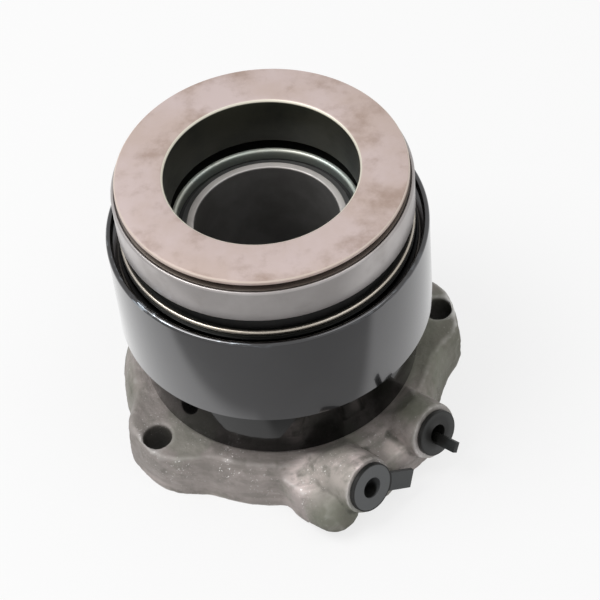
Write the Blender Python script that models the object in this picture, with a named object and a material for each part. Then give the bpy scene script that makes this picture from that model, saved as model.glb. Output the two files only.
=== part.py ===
# Concentric slave cylinder: a hydraulic clutch release unit that sits round a gearbox input shaft.
# The frame has its origin on the shaft axis, at the casting's mounting face, with +Z towards the clutch.
# The rest pose is the sprung, fully extended one. The release travel takes the bearing down.

import math

import bmesh
import bpy
from mathutils import Matrix, Vector

# General values, in metres and radians
FIT_GAP = 0.0003
RUNNING_GAP = 0.0005
TURN_STEPS = 36
RELEASE_STROKE = 0.016

# Casting
FLANGE_HEIGHT = 0.0155
FLANGE_LEDGE = 0.0088
FLANGE_SHOULDER_INSET = 0.0040
FLANGE_STEPS = 72
EAR_COUNT = 3
EAR_FIRST_ANGLE = math.radians(8.3)
EAR_SPACING = math.radians(105.0)
EAR_MARGIN = 0.0062
EAR_FLAT_HALF_ANGLE = math.radians(6.5)
EAR_BLEND_ANGLE = math.radians(17.0)
EAR_SHOULDER_INSET = 0.0014
BOLT_SETBACK = 0.0084
BOLT_HOLE_RADIUS = 0.0044
BOLT_HOLE_CHAMFER = 0.0006
CAST_RELIEF = 0.0006
PISTON_WALL = 0.0058
CYLINDER_WALL = 0.0040
CHAMBER_FLOOR = 0.0090
CYLINDER_CHAMFER = 0.0010

# Ports and their bosses
PORT_AZIMUTH = math.radians(-49.0)
PORT_TILT = math.radians(17.0)
PORT_FACE_HEIGHT = 0.0155
PORT_STAND = 0.0061
INLET_OFFSET = -0.0214
BLEED_EXTRA_STAND = 0.0013
BLEED_OFFSET = 0.0061
BOSS_RING_WIDTH = 0.0009
BOSS_ROOT_GROWTH = 0.0004
BOSS_EDGE = 0.0004
BLIND_BOSS_LENGTH = 0.0110
BLIND_BOSS_RADIUS = 0.0074
BLIND_BOSS_ROOT_RADIUS = 0.0078
BLIND_BOSS_SHIFT = -0.0085
BLIND_BOSS_SETBACK = 0.0004
BLIND_BOSS_DROP = 0.0064
BLIND_BOSS_EDGE = 0.0050
WEB_EXTRA_STAND = 0.0002
WEB_RIM_HEIGHT = 0.0135
NECK_RELIEF_WIDTH = 0.0065
NECK_RELIEF_RISE = 0.0055
GUSSET_WALL_OFFSET = -0.0367
GUSSET_WALL_DRAFT = 0.0012
GUSSET_BROW_HEIGHT = 0.0130
GUSSET_BROW_SETBACK = 0.0137
GUSSET_NOSE_SETBACK = 0.0115
GUSSET_NOSE_HEIGHT = 0.0095
GUSSET_TOE = 0.0010
GUSSET_CREST_SETBACK = 0.0077
GUSSET_CREST_HEIGHT = 0.0147
PORT_HOLE_RADIUS = 0.0054
PORT_HOLE_DEPTH = 0.0120
PORT_MOUTH_CHAMFER = 0.0007
DRILLING_RADIUS = 0.0016

# Port plugs
PLUG_FLANGE_RADIUS = 0.0076
BLEED_FLANGE_RADIUS = 0.0072
PLUG_FLANGE_THICKNESS = 0.0014
PLUG_STEM_LENGTH = 0.0090
INLET_SOCKET_RADIUS = 0.0033
INLET_SOCKET_DEPTH = 0.0080
BLEED_SOCKET_RADIUS = 0.0029
BLEED_SOCKET_DEPTH = 0.0050
TAB_WIDTH = 0.0058
TAB_REACH = 0.0168
TAB_SHIFT = 0.0010
TAB_ANGLE = math.radians(-34.5)
BLADE_WIDTH = 0.0033
BLADE_THICKNESS = 0.0017
BLADE_LENGTH = 0.0090
BLADE_DROP = 0.0025
BLADE_ANGLE = math.radians(49.0)

# Guide tube and its static seals
TUBE_INNER_RADIUS = 0.0213
TUBE_WALL = 0.0023
TUBE_FLANGE_WIDTH = 0.0034
TUBE_FLANGE_THICKNESS = 0.0019
TUBE_FLANGE_RECESS = 0.0004
TUBE_SEAL_SECTION = 0.0021
TUBE_SEAL_HEIGHT = 0.0058
BASE_SEAL_STAND = 0.0023
BASE_SEAL_SECTION = 0.0020

# Spring housing, the fixed black tube under the sleeve
HOUSING_WALL = 0.0016

# Dust sleeve, the moving black tube
SLEEVE_RUNNING_GAP = 0.0028
SLEEVE_WALL = 0.0020
SLEEVE_LENGTH = 0.0344
SLEEVE_END_CLEARANCE = 0.0070
SLEEVE_RIM_DEPTH = 0.0026
SLEEVE_WEB = 0.0020
SLEEVE_RIM_ROUND = 0.0009

# Piston and its seals
PISTON_FLANGE_WIDTH = 0.0045
PISTON_FLANGE_THICKNESS = 0.0038
PISTON_SEAL_LENGTH = 0.0050
SEAL_FLOOR_CLEARANCE = 0.0015
WIPER_SECTION = 0.0017
WIPER_LENGTH = 0.0022
WIPER_DEPTH = 0.0025
STOP_RING_SECTION = 0.0012
STOP_RING_STAND = 0.0016
STOP_GROOVE_DEPTH = 0.0006
TUBE_END_ABOVE_STOP = 0.0006

# Preload spring
SPRING_WIRE = 0.0040
SPRING_SIDE_GAP = 0.0016
SPRING_TURNS = 5.5
SPRING_SIDES = 6
SPRING_STEPS_PER_TURN = 14
SPRING_SEAT_THICKNESS = 0.0014
SPRING_SEAT_OVERLAP = 0.0007

# Bearing carrier
CARRIER_PLATE = 0.0014
CARRIER_BORE_GAP = 0.0014
CARRIER_LIP_WIDTH = 0.0017
CARRIER_LIP_HEIGHT = 0.0035
CENTRING_RING_HEIGHT = 0.0058
CENTRING_RING_INNER_GAP = 0.0007
CENTRING_RING_OUTER_INSET = 0.0025
RETAINER_WIRE = 0.0013
RETAINER_GAP_ANGLE = math.radians(-131.0)
RETAINER_GAP_WIDTH = math.radians(7.5)

# Release bearing
BEARING_SIDE_GAP = 0.0023
BEARING_HEIGHT = 0.0117
BEARING_CHAMFER = 0.0005
THRUST_RIM_INSET = 0.0013
THRUST_HUB_WALL = 0.00485
THRUST_RIM_THICKNESS = 0.0013
THRUST_RIM_GAP = 0.0021
THRUST_FLANGE_DEPTH = 0.0025
THRUST_BORE_ROUND = 0.0012
THRUST_EDGE_BEVEL = 0.0005
THRUST_HUB_DROP = 0.0011
BALL_COUNT = 16
BALL_RADIUS = 0.003572
BALL_PITCH_INSET = 0.0074
BALL_HEIGHT = 0.0062
RACE_POINTS = 7
LOW_SHOULDER = 0.0032
HIGH_SHOULDER = 0.0007
CAGE_HALF_LENGTH = 0.00475
CAGE_THICKNESS = 0.0015
CAGE_SLOPE = math.radians(63.0)
SHIELD_THICKNESS = 0.0006
SHIELD_LIP = 0.0009
BEARING_SEAL_THICKNESS = 0.0011

# Heights and radii that follow from the sizes above
TUBE_OUTER_RADIUS = TUBE_INNER_RADIUS + TUBE_WALL
TUBE_FLANGE_RADIUS = TUBE_OUTER_RADIUS + TUBE_FLANGE_WIDTH
PISTON_INNER_RADIUS = TUBE_OUTER_RADIUS + FIT_GAP
PISTON_OUTER_RADIUS = PISTON_INNER_RADIUS + PISTON_WALL
PISTON_FLANGE_RADIUS = PISTON_OUTER_RADIUS + PISTON_FLANGE_WIDTH
CYLINDER_BORE_RADIUS = PISTON_OUTER_RADIUS + FIT_GAP
CYLINDER_OUTER_RADIUS = CYLINDER_BORE_RADIUS + CYLINDER_WALL
BASE_SEAL_RADIUS = CYLINDER_OUTER_RADIUS + BASE_SEAL_STAND
SPRING_MEAN_RADIUS = CYLINDER_OUTER_RADIUS + SPRING_SIDE_GAP + SPRING_WIRE / 2
SPRING_SEAT_INNER_RADIUS = SPRING_MEAN_RADIUS - SPRING_WIRE / 2 - SPRING_SEAT_OVERLAP
SPRING_SEAT_OUTER_RADIUS = SPRING_MEAN_RADIUS + SPRING_WIRE / 2 + SPRING_SEAT_OVERLAP
HOUSING_RADIUS = SPRING_MEAN_RADIUS + SPRING_WIRE / 2 + SPRING_SIDE_GAP + HOUSING_WALL
SLEEVE_RADIUS = HOUSING_RADIUS + SLEEVE_RUNNING_GAP + SLEEVE_WALL
BEARING_RADIUS = SLEEVE_RADIUS - SLEEVE_WALL - BEARING_SIDE_GAP
CARRIER_RADIUS = BEARING_RADIUS
CARRIER_LIP_RADIUS = TUBE_OUTER_RADIUS + STOP_RING_STAND + CARRIER_BORE_GAP
BALL_PITCH_RADIUS = BEARING_RADIUS - BALL_PITCH_INSET
THRUST_FACE_RADIUS = BEARING_RADIUS - THRUST_RIM_INSET
THRUST_BORE_RADIUS = BALL_PITCH_RADIUS - LOW_SHOULDER - THRUST_HUB_WALL
CENTRING_RING_INNER_RADIUS = BALL_PITCH_RADIUS - LOW_SHOULDER + CENTRING_RING_INNER_GAP
CENTRING_RING_OUTER_RADIUS = BEARING_RADIUS - CENTRING_RING_OUTER_INSET
FLANGE_RADIUS = HOUSING_RADIUS + FLANGE_LEDGE
BOLT_CIRCLE_RADIUS = HOUSING_RADIUS + BOLT_SETBACK
EAR_REACH = BOLT_CIRCLE_RADIUS + EAR_MARGIN
INLET_FACE_REACH = FLANGE_RADIUS + PORT_STAND
BLEED_FACE_REACH = INLET_FACE_REACH + BLEED_EXTRA_STAND
BLIND_FACE_REACH = INLET_FACE_REACH - BLIND_BOSS_SETBACK
WEB_REACH = INLET_FACE_REACH + WEB_EXTRA_STAND
PLUG_SEAT_RADIUS = PLUG_FLANGE_RADIUS + FIT_GAP
BOSS_FACE_RADIUS = PLUG_SEAT_RADIUS + BOSS_RING_WIDTH
BOSS_ROOT_RADIUS = BOSS_FACE_RADIUS + BOSS_ROOT_GROWTH
SLEEVE_BOTTOM = FLANGE_HEIGHT + RELEASE_STROKE + SLEEVE_END_CLEARANCE
SLEEVE_TOP = SLEEVE_BOTTOM + SLEEVE_LENGTH
WEB_TOP = SLEEVE_TOP - SLEEVE_RIM_DEPTH
WEB_BOTTOM = WEB_TOP - SLEEVE_WEB
PISTON_FLANGE_TOP = WEB_BOTTOM - FIT_GAP
PISTON_FLANGE_BOTTOM = PISTON_FLANGE_TOP - PISTON_FLANGE_THICKNESS
CYLINDER_TOP = PISTON_FLANGE_BOTTOM - RELEASE_STROKE - 4 * FIT_GAP
HOUSING_BOTTOM = FLANGE_HEIGHT + FIT_GAP
HOUSING_TOP = WEB_BOTTOM - RELEASE_STROKE - 2 * FIT_GAP
PISTON_TOP = WEB_TOP - FIT_GAP / 3
STOP_RING_BOTTOM = PISTON_TOP + FIT_GAP
STOP_RING_TOP = STOP_RING_BOTTOM + STOP_RING_SECTION
TUBE_TOP = STOP_RING_TOP + TUBE_END_ABOVE_STOP
SEAL_BOTTOM = CHAMBER_FLOOR + RELEASE_STROKE + SEAL_FLOOR_CLEARANCE
SEAL_TOP = SEAL_BOTTOM + PISTON_SEAL_LENGTH
PISTON_BOTTOM = SEAL_TOP + FIT_GAP
CARRIER_BOTTOM = WEB_TOP + FIT_GAP
CARRIER_TOP = CARRIER_BOTTOM + CARRIER_PLATE
CENTRING_RING_BOTTOM = CARRIER_TOP + FIT_GAP
CENTRING_RING_TOP = CENTRING_RING_BOTTOM + CENTRING_RING_HEIGHT
BEARING_BOTTOM = CENTRING_RING_TOP + FIT_GAP
BEARING_TOP = BEARING_BOTTOM + BEARING_HEIGHT
THRUST_RIM_BOTTOM = BEARING_TOP + THRUST_RIM_GAP
THRUST_FACE = THRUST_RIM_BOTTOM + THRUST_RIM_THICKNESS
BALL_CENTRE = BEARING_BOTTOM + BALL_HEIGHT
RACE_RADIUS = BALL_RADIUS + FIT_GAP
BOLT_ANGLES = [EAR_FIRST_ANGLE + i * EAR_SPACING for i in range(EAR_COUNT)]


def clear_scene():
    for leftover in list(bpy.data.objects):
        bpy.data.objects.remove(leftover, do_unlink=True)


def finish_material(name, colour, roughness, metallic):
    material = bpy.data.materials.new(name)
    material.use_nodes = True
    shader = material.node_tree.nodes["Principled BSDF"]
    shader.inputs["Base Color"].default_value = (*colour, 1.0)
    shader.inputs["Roughness"].default_value = roughness
    shader.inputs["Metallic"].default_value = metallic
    material.diffuse_color = (*colour, 1.0)
    return material


def add_object(name, mesh_data, finish=None, parent=None):
    """Turns a bmesh into a smooth-shaded object of the scene."""
    mesh = bpy.data.meshes.new(name)
    mesh_data.to_mesh(mesh)
    mesh_data.free()
    mesh.shade_smooth()
    mesh.set_sharp_from_angle(angle=math.radians(35))
    if finish:
        mesh.materials.append(finish_material(name, *finish))
    item = bpy.data.objects.new(name, mesh)
    bpy.context.scene.collection.objects.link(item)
    item.parent = parent
    return item


def add_axis(name, parent=None):
    axis = bpy.data.objects.new(name, None)
    bpy.context.scene.collection.objects.link(axis)
    axis.parent = parent
    return axis


def turned(outline, steps=TURN_STEPS, start=0.0, sweep=math.tau):
    """Spins a closed outline of (radius, height) points about the shaft axis."""
    shape = bmesh.new()
    turn = Matrix.Rotation(start, 3, "Z")
    points = [shape.verts.new(turn @ Vector((radius, 0.0, height))) for radius, height in outline]
    full = abs(sweep - math.tau) < 1e-9
    if full:
        profile = [shape.edges.new((points[i - 1], points[i])) for i in range(len(points))]
    else:
        profile = [shape.faces.new(points)]
    bmesh.ops.spin(
        shape, geom=profile, axis=(0, 0, 1), cent=(0, 0, 0), angle=sweep, steps=steps, use_merge=full
    )
    bmesh.ops.remove_doubles(shape, verts=shape.verts, dist=1e-6)
    bmesh.ops.recalc_face_normals(shape, faces=shape.faces)
    return shape


def turned_plug(outline, steps):
    """Spins an open outline that starts and ends on the axis, into a solid body."""
    shape = bmesh.new()
    points = [shape.verts.new((radius, 0.0, height)) for radius, height in outline]
    profile = [shape.edges.new(pair) for pair in zip(points, points[1:])]
    bmesh.ops.spin(
        shape, geom=profile, axis=(0, 0, 1), cent=(0, 0, 0), angle=math.tau, steps=steps, use_merge=True
    )
    bmesh.ops.remove_doubles(shape, verts=shape.verts, dist=1e-6)
    bmesh.ops.recalc_face_normals(shape, faces=shape.faces)
    return shape


def arc(centre, radius, start, end, count):
    """Points of an arc in the (radius, height) plane, angles in degrees."""
    points = []
    for i in range(count):
        angle = math.radians(start + (end - start) * i / (count - 1))
        points.append((centre[0] + radius * math.cos(angle), centre[1] + radius * math.sin(angle)))
    return points


def ring(inner, outer, bottom, top):
    return [(inner, bottom), (outer, bottom), (outer, top), (inner, top)]


def round_section(radius, height, section, sides=8):
    return arc((radius, height), section / 2, 0, 360 - 360 / sides, sides)


def use_as_cutter(item):
    item.hide_render = True
    item.display_type = "WIRE"


def combine(target, tool, operation):
    use_as_cutter(tool)
    step = target.modifiers.new(tool.name, "BOOLEAN")
    step.operation = operation
    step.solver = "EXACT"
    step.object = tool


def port_frame(reach, offset, height=PORT_FACE_HEIGHT):
    """Place and turn of a port face: local +Z is the port's axis, local +X runs level."""
    outward = Vector((math.cos(PORT_AZIMUTH), math.sin(PORT_AZIMUTH), 0.0))
    level = Vector((-outward.y, outward.x, 0.0))
    axis = outward * math.cos(PORT_TILT) + Vector((0, 0, math.sin(PORT_TILT)))
    up = axis.cross(level)
    place = outward * reach + level * offset + Vector((0, 0, height))
    turn = Matrix((level, up, axis)).transposed()
    return Matrix.Translation(place) @ turn.to_4x4()


INLET_FRAME = port_frame(INLET_FACE_REACH, INLET_OFFSET)
BLEED_FRAME = port_frame(BLEED_FACE_REACH, BLEED_OFFSET)


def ear_lift(angle):
    """1 on a bolt ear, 0 on the round body, with a smooth run between."""
    lift = 0.0
    for ear in BOLT_ANGLES:
        away = abs((angle - ear + math.pi) % math.tau - math.pi) - EAR_FLAT_HALF_ANGLE
        share = min(max(1.0 - away / EAR_BLEND_ANGLE, 0.0), 1.0)
        lift = max(lift, share * share * (3.0 - 2.0 * share))
    return lift


def flange_blank():
    """Lofts the lobed flange from its base outline up to the inset top face."""
    levels = [(0.0, 0.0), (0.55, 0.22), (0.85, 0.6), (1.0, 1.0)]
    shape = bmesh.new()
    rows = []
    for height_share, inset_share in levels:
        row = []
        for i in range(FLANGE_STEPS):
            angle = math.tau * i / FLANGE_STEPS
            lift = ear_lift(angle)
            inset = FLANGE_SHOULDER_INSET + (EAR_SHOULDER_INSET - FLANGE_SHOULDER_INSET) * lift
            radius = FLANGE_RADIUS + (EAR_REACH - FLANGE_RADIUS) * lift - inset * inset_share
            place = (radius * math.cos(angle), radius * math.sin(angle), FLANGE_HEIGHT * height_share)
            row.append(shape.verts.new(place))
        rows.append(row)
    for low, high in zip(rows, rows[1:]):
        for i in range(FLANGE_STEPS):
            shape.faces.new((low[i - 1], low[i], high[i], high[i - 1]))
    shape.faces.new(list(reversed(rows[0])))
    shape.faces.new(rows[-1])
    bmesh.ops.recalc_face_normals(shape, faces=shape.faces)
    return shape


def boss(name, frame, length, face_radius, root_radius, edge, steps, seat=()):
    """A cast boss along a port axis, wider at its root, flat underneath, with a rounded outer edge."""
    corner = arc((face_radius - edge, -edge), edge, 0, 90, 4 if edge > BOSS_EDGE else 2)
    outline = [(0.0, -length), (root_radius, -length), *corner, *seat, (0.0, 0.0)]
    shape = turned_plug(outline, steps)
    bmesh.ops.transform(shape, matrix=frame, verts=shape.verts)
    everything = list(shape.verts) + list(shape.edges) + list(shape.faces)
    cut = bmesh.ops.bisect_plane(
        shape, geom=everything, plane_co=(0, 0, CAST_RELIEF), plane_no=(0, 0, -1), clear_outer=True
    )
    rim = [piece for piece in cut["geom_cut"] if isinstance(piece, bmesh.types.BMEdge)]
    bmesh.ops.contextual_create(shape, geom=rim)
    bmesh.ops.recalc_face_normals(shape, faces=shape.faces)
    return add_object(name, shape)


def port_web():
    """The sloping web that fills the valley between the two port bosses."""
    top = FLANGE_HEIGHT - CAST_RELIEF
    run = WEB_REACH - CYLINDER_OUTER_RADIUS
    profile = [
        (CYLINDER_BORE_RADIUS, CAST_RELIEF),
        (WEB_REACH - CAST_RELIEF, CAST_RELIEF),
        (WEB_REACH, WEB_RIM_HEIGHT * 0.7),
        (WEB_REACH - run * 0.1, WEB_RIM_HEIGHT),
        (WEB_REACH - run * 0.32, WEB_RIM_HEIGHT + (top - WEB_RIM_HEIGHT) * 0.3),
        (WEB_REACH - run * 0.6, WEB_RIM_HEIGHT + (top - WEB_RIM_HEIGHT) * 0.8),
        (WEB_REACH - run * 0.8, top),
        (CYLINDER_BORE_RADIUS, top),
    ]
    shape = bmesh.new()
    side = shape.faces.new([shape.verts.new((reach, INLET_OFFSET, height)) for reach, height in profile])
    grown = bmesh.ops.extrude_face_region(shape, geom=[side])["geom"]
    across = [piece for piece in grown if isinstance(piece, bmesh.types.BMVert)]
    bmesh.ops.translate(shape, vec=(0, BLEED_OFFSET - INLET_OFFSET, 0), verts=across)
    bmesh.ops.recalc_face_normals(shape, faces=shape.faces)
    item = add_object("port_web", shape)
    item.rotation_euler = (0, 0, PORT_AZIMUTH)
    return item


def port_gusset():
    """The wedge beside the inlet boss: a gently sloping flank whose brow falls to a steep wall."""
    top = FLANGE_HEIGHT - CAST_RELIEF
    wall = GUSSET_WALL_OFFSET
    brow = wall + GUSSET_WALL_DRAFT
    crest = INLET_OFFSET - BOSS_FACE_RADIUS * 0.72
    nose_reach = INLET_FACE_REACH - GUSSET_NOSE_SETBACK
    crest_reach = INLET_FACE_REACH - GUSSET_CREST_SETBACK
    points = [
        (CYLINDER_OUTER_RADIUS, brow, GUSSET_BROW_HEIGHT),
        (INLET_FACE_REACH - GUSSET_BROW_SETBACK, brow, GUSSET_BROW_HEIGHT),
        (nose_reach, wall, GUSSET_NOSE_HEIGHT),
        (nose_reach + GUSSET_TOE, wall, GUSSET_NOSE_HEIGHT / 3),
        (nose_reach, wall, CAST_RELIEF),
        (CYLINDER_OUTER_RADIUS, wall, CAST_RELIEF),
        (CYLINDER_OUTER_RADIUS, crest, top),
        (crest_reach - BOSS_FACE_RADIUS / 2, crest, top),
        (crest_reach, crest, GUSSET_CREST_HEIGHT),
        (crest_reach, crest, CAST_RELIEF),
        (CYLINDER_OUTER_RADIUS, INLET_OFFSET, top),
        (crest_reach, INLET_OFFSET, GUSSET_CREST_HEIGHT),
        (crest_reach, INLET_OFFSET, CAST_RELIEF),
        (CYLINDER_OUTER_RADIUS, INLET_OFFSET, CAST_RELIEF),
    ]
    shape = bmesh.new()
    for place in points:
        shape.verts.new(place)
    bmesh.ops.convex_hull(shape, input=shape.verts)
    bmesh.ops.recalc_face_normals(shape, faces=shape.faces)
    item = add_object("port_gusset", shape)
    item.rotation_euler = (0, 0, PORT_AZIMUTH)
    return item


def bolt_hole_tools():
    """Three countersunk clearance holes, one at each ear."""
    shape = bmesh.new()
    mouth = BOLT_HOLE_RADIUS + BOLT_HOLE_CHAMFER
    for angle in BOLT_ANGLES:
        outline = [
            (0.0, -FIT_GAP),
            (BOLT_HOLE_RADIUS, -FIT_GAP),
            (BOLT_HOLE_RADIUS, FLANGE_HEIGHT - BOLT_HOLE_CHAMFER),
            (mouth, FLANGE_HEIGHT),
            (mouth, FLANGE_HEIGHT + BOLT_HOLE_RADIUS),
            (0.0, FLANGE_HEIGHT + BOLT_HOLE_RADIUS),
        ]
        hole = turned_plug(outline, 18)
        place = Vector((math.cos(angle), math.sin(angle), 0)) * BOLT_CIRCLE_RADIUS
        bmesh.ops.translate(hole, vec=place, verts=hole.verts)
        piece = bpy.data.meshes.new("bolt_hole")
        hole.to_mesh(piece)
        hole.free()
        shape.from_mesh(piece)
        bpy.data.meshes.remove(piece)
    return add_object("bolt_holes", shape)


def port_hole(name, frame):
    """A blind threaded port, drawn at its thread's mean size, and the clear room before its face."""
    spot_face = FIT_GAP / 3
    outline = [
        (0.0, -PORT_HOLE_DEPTH - PORT_HOLE_RADIUS * 0.6),
        (PORT_HOLE_RADIUS, -PORT_HOLE_DEPTH),
        (PORT_HOLE_RADIUS, -PORT_MOUTH_CHAMFER),
        (PORT_HOLE_RADIUS + PORT_MOUTH_CHAMFER, spot_face),
        (BOSS_ROOT_RADIUS, spot_face),
        (BOSS_ROOT_RADIUS, PORT_HOLE_DEPTH),
        (0.0, PORT_HOLE_DEPTH),
    ]
    item = add_object(name, turned_plug(outline, 18))
    item.matrix_world = frame
    return item


def fluid_drilling(name, frame):
    """The level drilling from a port's bottom into the pressure chamber."""
    start = frame @ Vector((0, 0, -PORT_HOLE_DEPTH))
    inward = Vector((-math.cos(PORT_AZIMUTH), -math.sin(PORT_AZIMUTH), 0.0))
    across = start.x * math.sin(PORT_AZIMUTH) - start.y * math.cos(PORT_AZIMUTH)
    along = -start.dot(inward)
    length = along - math.sqrt((CYLINDER_BORE_RADIUS - DRILLING_RADIUS) ** 2 - across**2)
    outline = [(0.0, 0.0), (DRILLING_RADIUS, 0.0), (DRILLING_RADIUS, length), (0.0, length)]
    item = add_object(name, turned_plug(outline, 8))
    item.matrix_world = Matrix.Translation(start) @ inward.to_track_quat("Z", "Y").to_matrix().to_4x4()
    return item


def make_cast_body():
    body = add_object("cast_body", flange_blank(), ((0.33, 0.30, 0.27), 0.62, 0.75))

    boss_sizes = (BOSS_FACE_RADIUS, BOSS_ROOT_RADIUS, BOSS_EDGE, 24, [(PLUG_SEAT_RADIUS, 0.0)])
    inlet_length = (INLET_FACE_REACH - CYLINDER_BORE_RADIUS) / math.cos(PORT_TILT)
    bleed_length = (BLEED_FACE_REACH - CYLINDER_BORE_RADIUS) / math.cos(PORT_TILT)
    inlet_boss = boss("inlet_boss", INLET_FRAME, inlet_length, *boss_sizes)
    bleed_boss = boss("bleed_boss", BLEED_FRAME, bleed_length, *boss_sizes)
    blind_height = PORT_FACE_HEIGHT - BLIND_BOSS_DROP
    blind_frame = port_frame(BLIND_FACE_REACH, INLET_OFFSET + BLIND_BOSS_SHIFT, blind_height)
    blind_sizes = (BLIND_BOSS_RADIUS, BLIND_BOSS_ROOT_RADIUS, BLIND_BOSS_EDGE, 20)
    blind_boss = boss("blind_boss", blind_frame, BLIND_BOSS_LENGTH, *blind_sizes)
    for tool in (inlet_boss, bleed_boss, blind_boss, port_web(), port_gusset()):
        combine(body, tool, "UNION")

    seat_radius = HOUSING_RADIUS + FIT_GAP
    seat = [
        (0.0, FLANGE_HEIGHT),
        (seat_radius, FLANGE_HEIGHT),
        (seat_radius + NECK_RELIEF_WIDTH, FLANGE_HEIGHT + NECK_RELIEF_RISE),
        (seat_radius + NECK_RELIEF_WIDTH, CYLINDER_TOP),
        (0.0, CYLINDER_TOP),
    ]
    combine(body, add_object("housing_seat", turned_plug(seat, TURN_STEPS)), "DIFFERENCE")

    wall_top = CYLINDER_TOP - CYLINDER_CHAMFER
    wall = [
        (0.0, CHAMBER_FLOOR / 2),
        (CYLINDER_OUTER_RADIUS, CHAMBER_FLOOR / 2),
        (CYLINDER_OUTER_RADIUS, wall_top),
        (CYLINDER_OUTER_RADIUS - CYLINDER_CHAMFER, CYLINDER_TOP),
        (0.0, CYLINDER_TOP),
    ]
    combine(body, add_object("cylinder_wall", turned_plug(wall, TURN_STEPS)), "UNION")

    tube_hole = TUBE_OUTER_RADIUS + FIT_GAP
    counterbore = TUBE_FLANGE_RADIUS + FIT_GAP
    counterbore_top = TUBE_FLANGE_RECESS + TUBE_FLANGE_THICKNESS + FIT_GAP
    groove = TUBE_OUTER_RADIUS + TUBE_SEAL_SECTION + 2 * FIT_GAP
    groove_half = TUBE_SEAL_SECTION / 2 + FIT_GAP
    bore = [
        (0.0, -FIT_GAP),
        (counterbore, -FIT_GAP),
        (counterbore, counterbore_top),
        (tube_hole, counterbore_top),
        (tube_hole, TUBE_SEAL_HEIGHT - groove_half),
        (groove, TUBE_SEAL_HEIGHT - groove_half),
        (groove, TUBE_SEAL_HEIGHT + groove_half),
        (tube_hole, TUBE_SEAL_HEIGHT + groove_half),
        (tube_hole, CHAMBER_FLOOR),
        (CYLINDER_BORE_RADIUS, CHAMBER_FLOOR),
        (CYLINDER_BORE_RADIUS, wall_top),
        (CYLINDER_BORE_RADIUS + CYLINDER_CHAMFER, CYLINDER_TOP),
        (CYLINDER_BORE_RADIUS + CYLINDER_CHAMFER, CYLINDER_TOP + FIT_GAP),
        (0.0, CYLINDER_TOP + FIT_GAP),
    ]
    combine(body, add_object("centre_bore", turned_plug(bore, TURN_STEPS)), "DIFFERENCE")

    half = BASE_SEAL_SECTION / 2 + FIT_GAP
    base_groove = ring(BASE_SEAL_RADIUS - half, BASE_SEAL_RADIUS + half, -FIT_GAP, 2 * half)
    combine(body, add_object("base_groove", turned(base_groove)), "DIFFERENCE")

    combine(body, bolt_hole_tools(), "DIFFERENCE")
    for name, frame in (("inlet", INLET_FRAME), ("bleed", BLEED_FRAME)):
        combine(body, port_hole(name + "_port_hole", frame), "DIFFERENCE")
        combine(body, fluid_drilling(name + "_drilling", frame), "DIFFERENCE")


def make_guide_tube():
    flange_top = TUBE_FLANGE_RECESS + TUBE_FLANGE_THICKNESS
    groove = TUBE_OUTER_RADIUS - STOP_GROOVE_DEPTH
    outline = [
        (TUBE_INNER_RADIUS, TUBE_FLANGE_RECESS),
        (TUBE_FLANGE_RADIUS, TUBE_FLANGE_RECESS),
        (TUBE_FLANGE_RADIUS, flange_top),
        (TUBE_OUTER_RADIUS, flange_top),
        (TUBE_OUTER_RADIUS, STOP_RING_BOTTOM - FIT_GAP),
        (groove, STOP_RING_BOTTOM - FIT_GAP),
        (groove, STOP_RING_TOP + FIT_GAP),
        (TUBE_OUTER_RADIUS, STOP_RING_TOP + FIT_GAP),
        (TUBE_OUTER_RADIUS, TUBE_TOP),
        (TUBE_INNER_RADIUS, TUBE_TOP),
    ]
    add_object("guide_tube", turned(outline), ((0.60, 0.58, 0.55), 0.35, 1.0))


def make_static_seals():
    rubber = ((0.02, 0.02, 0.02), 0.7, 0.0)
    tube_seal_radius = TUBE_OUTER_RADIUS + FIT_GAP + TUBE_SEAL_SECTION / 2
    tube_seal = round_section(tube_seal_radius, TUBE_SEAL_HEIGHT, TUBE_SEAL_SECTION, 6)
    add_object("guide_tube_seal", turned(tube_seal), rubber)
    base_seal_height = BASE_SEAL_SECTION / 2 + FIT_GAP
    base_seal = round_section(BASE_SEAL_RADIUS, base_seal_height, BASE_SEAL_SECTION, 6)
    add_object("base_seal", turned(base_seal), rubber)


def make_spring_housing():
    """A pressed cup round the spring: its turned-in foot is held on the casting by the spring."""
    inner = HOUSING_RADIUS - HOUSING_WALL
    foot_top = HOUSING_BOTTOM + HOUSING_WALL
    outline = [
        (CYLINDER_OUTER_RADIUS + FIT_GAP, HOUSING_BOTTOM),
        (HOUSING_RADIUS - HOUSING_WALL / 3, HOUSING_BOTTOM),
        (HOUSING_RADIUS, HOUSING_BOTTOM + HOUSING_WALL / 3),
        (HOUSING_RADIUS, HOUSING_TOP),
        (inner, HOUSING_TOP),
        (inner, foot_top),
        (CYLINDER_OUTER_RADIUS + FIT_GAP, foot_top),
    ]
    add_object("spring_housing", turned(outline), ((0.012, 0.012, 0.013), 0.12, 0.0))


def spring_height(turn_share):
    """Height of the wire's centre: closed end coils, open ones between."""
    bottom = HOUSING_BOTTOM + HOUSING_WALL + FIT_GAP + SPRING_WIRE / 2
    top = WEB_BOTTOM - SPRING_SEAT_THICKNESS - 2 * FIT_GAP - SPRING_WIRE / 2
    dead = 0.9 / SPRING_TURNS
    closed_rise = SPRING_WIRE + FIT_GAP
    if turn_share < dead:
        return bottom + closed_rise * (turn_share / dead) ** 2 * 0.9
    if turn_share > 1.0 - dead:
        return top - closed_rise * ((1.0 - turn_share) / dead) ** 2 * 0.9
    low = bottom + closed_rise * 0.9
    high = top - closed_rise * 0.9
    return low + (high - low) * (turn_share - dead) / (1.0 - 2.0 * dead)


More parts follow.
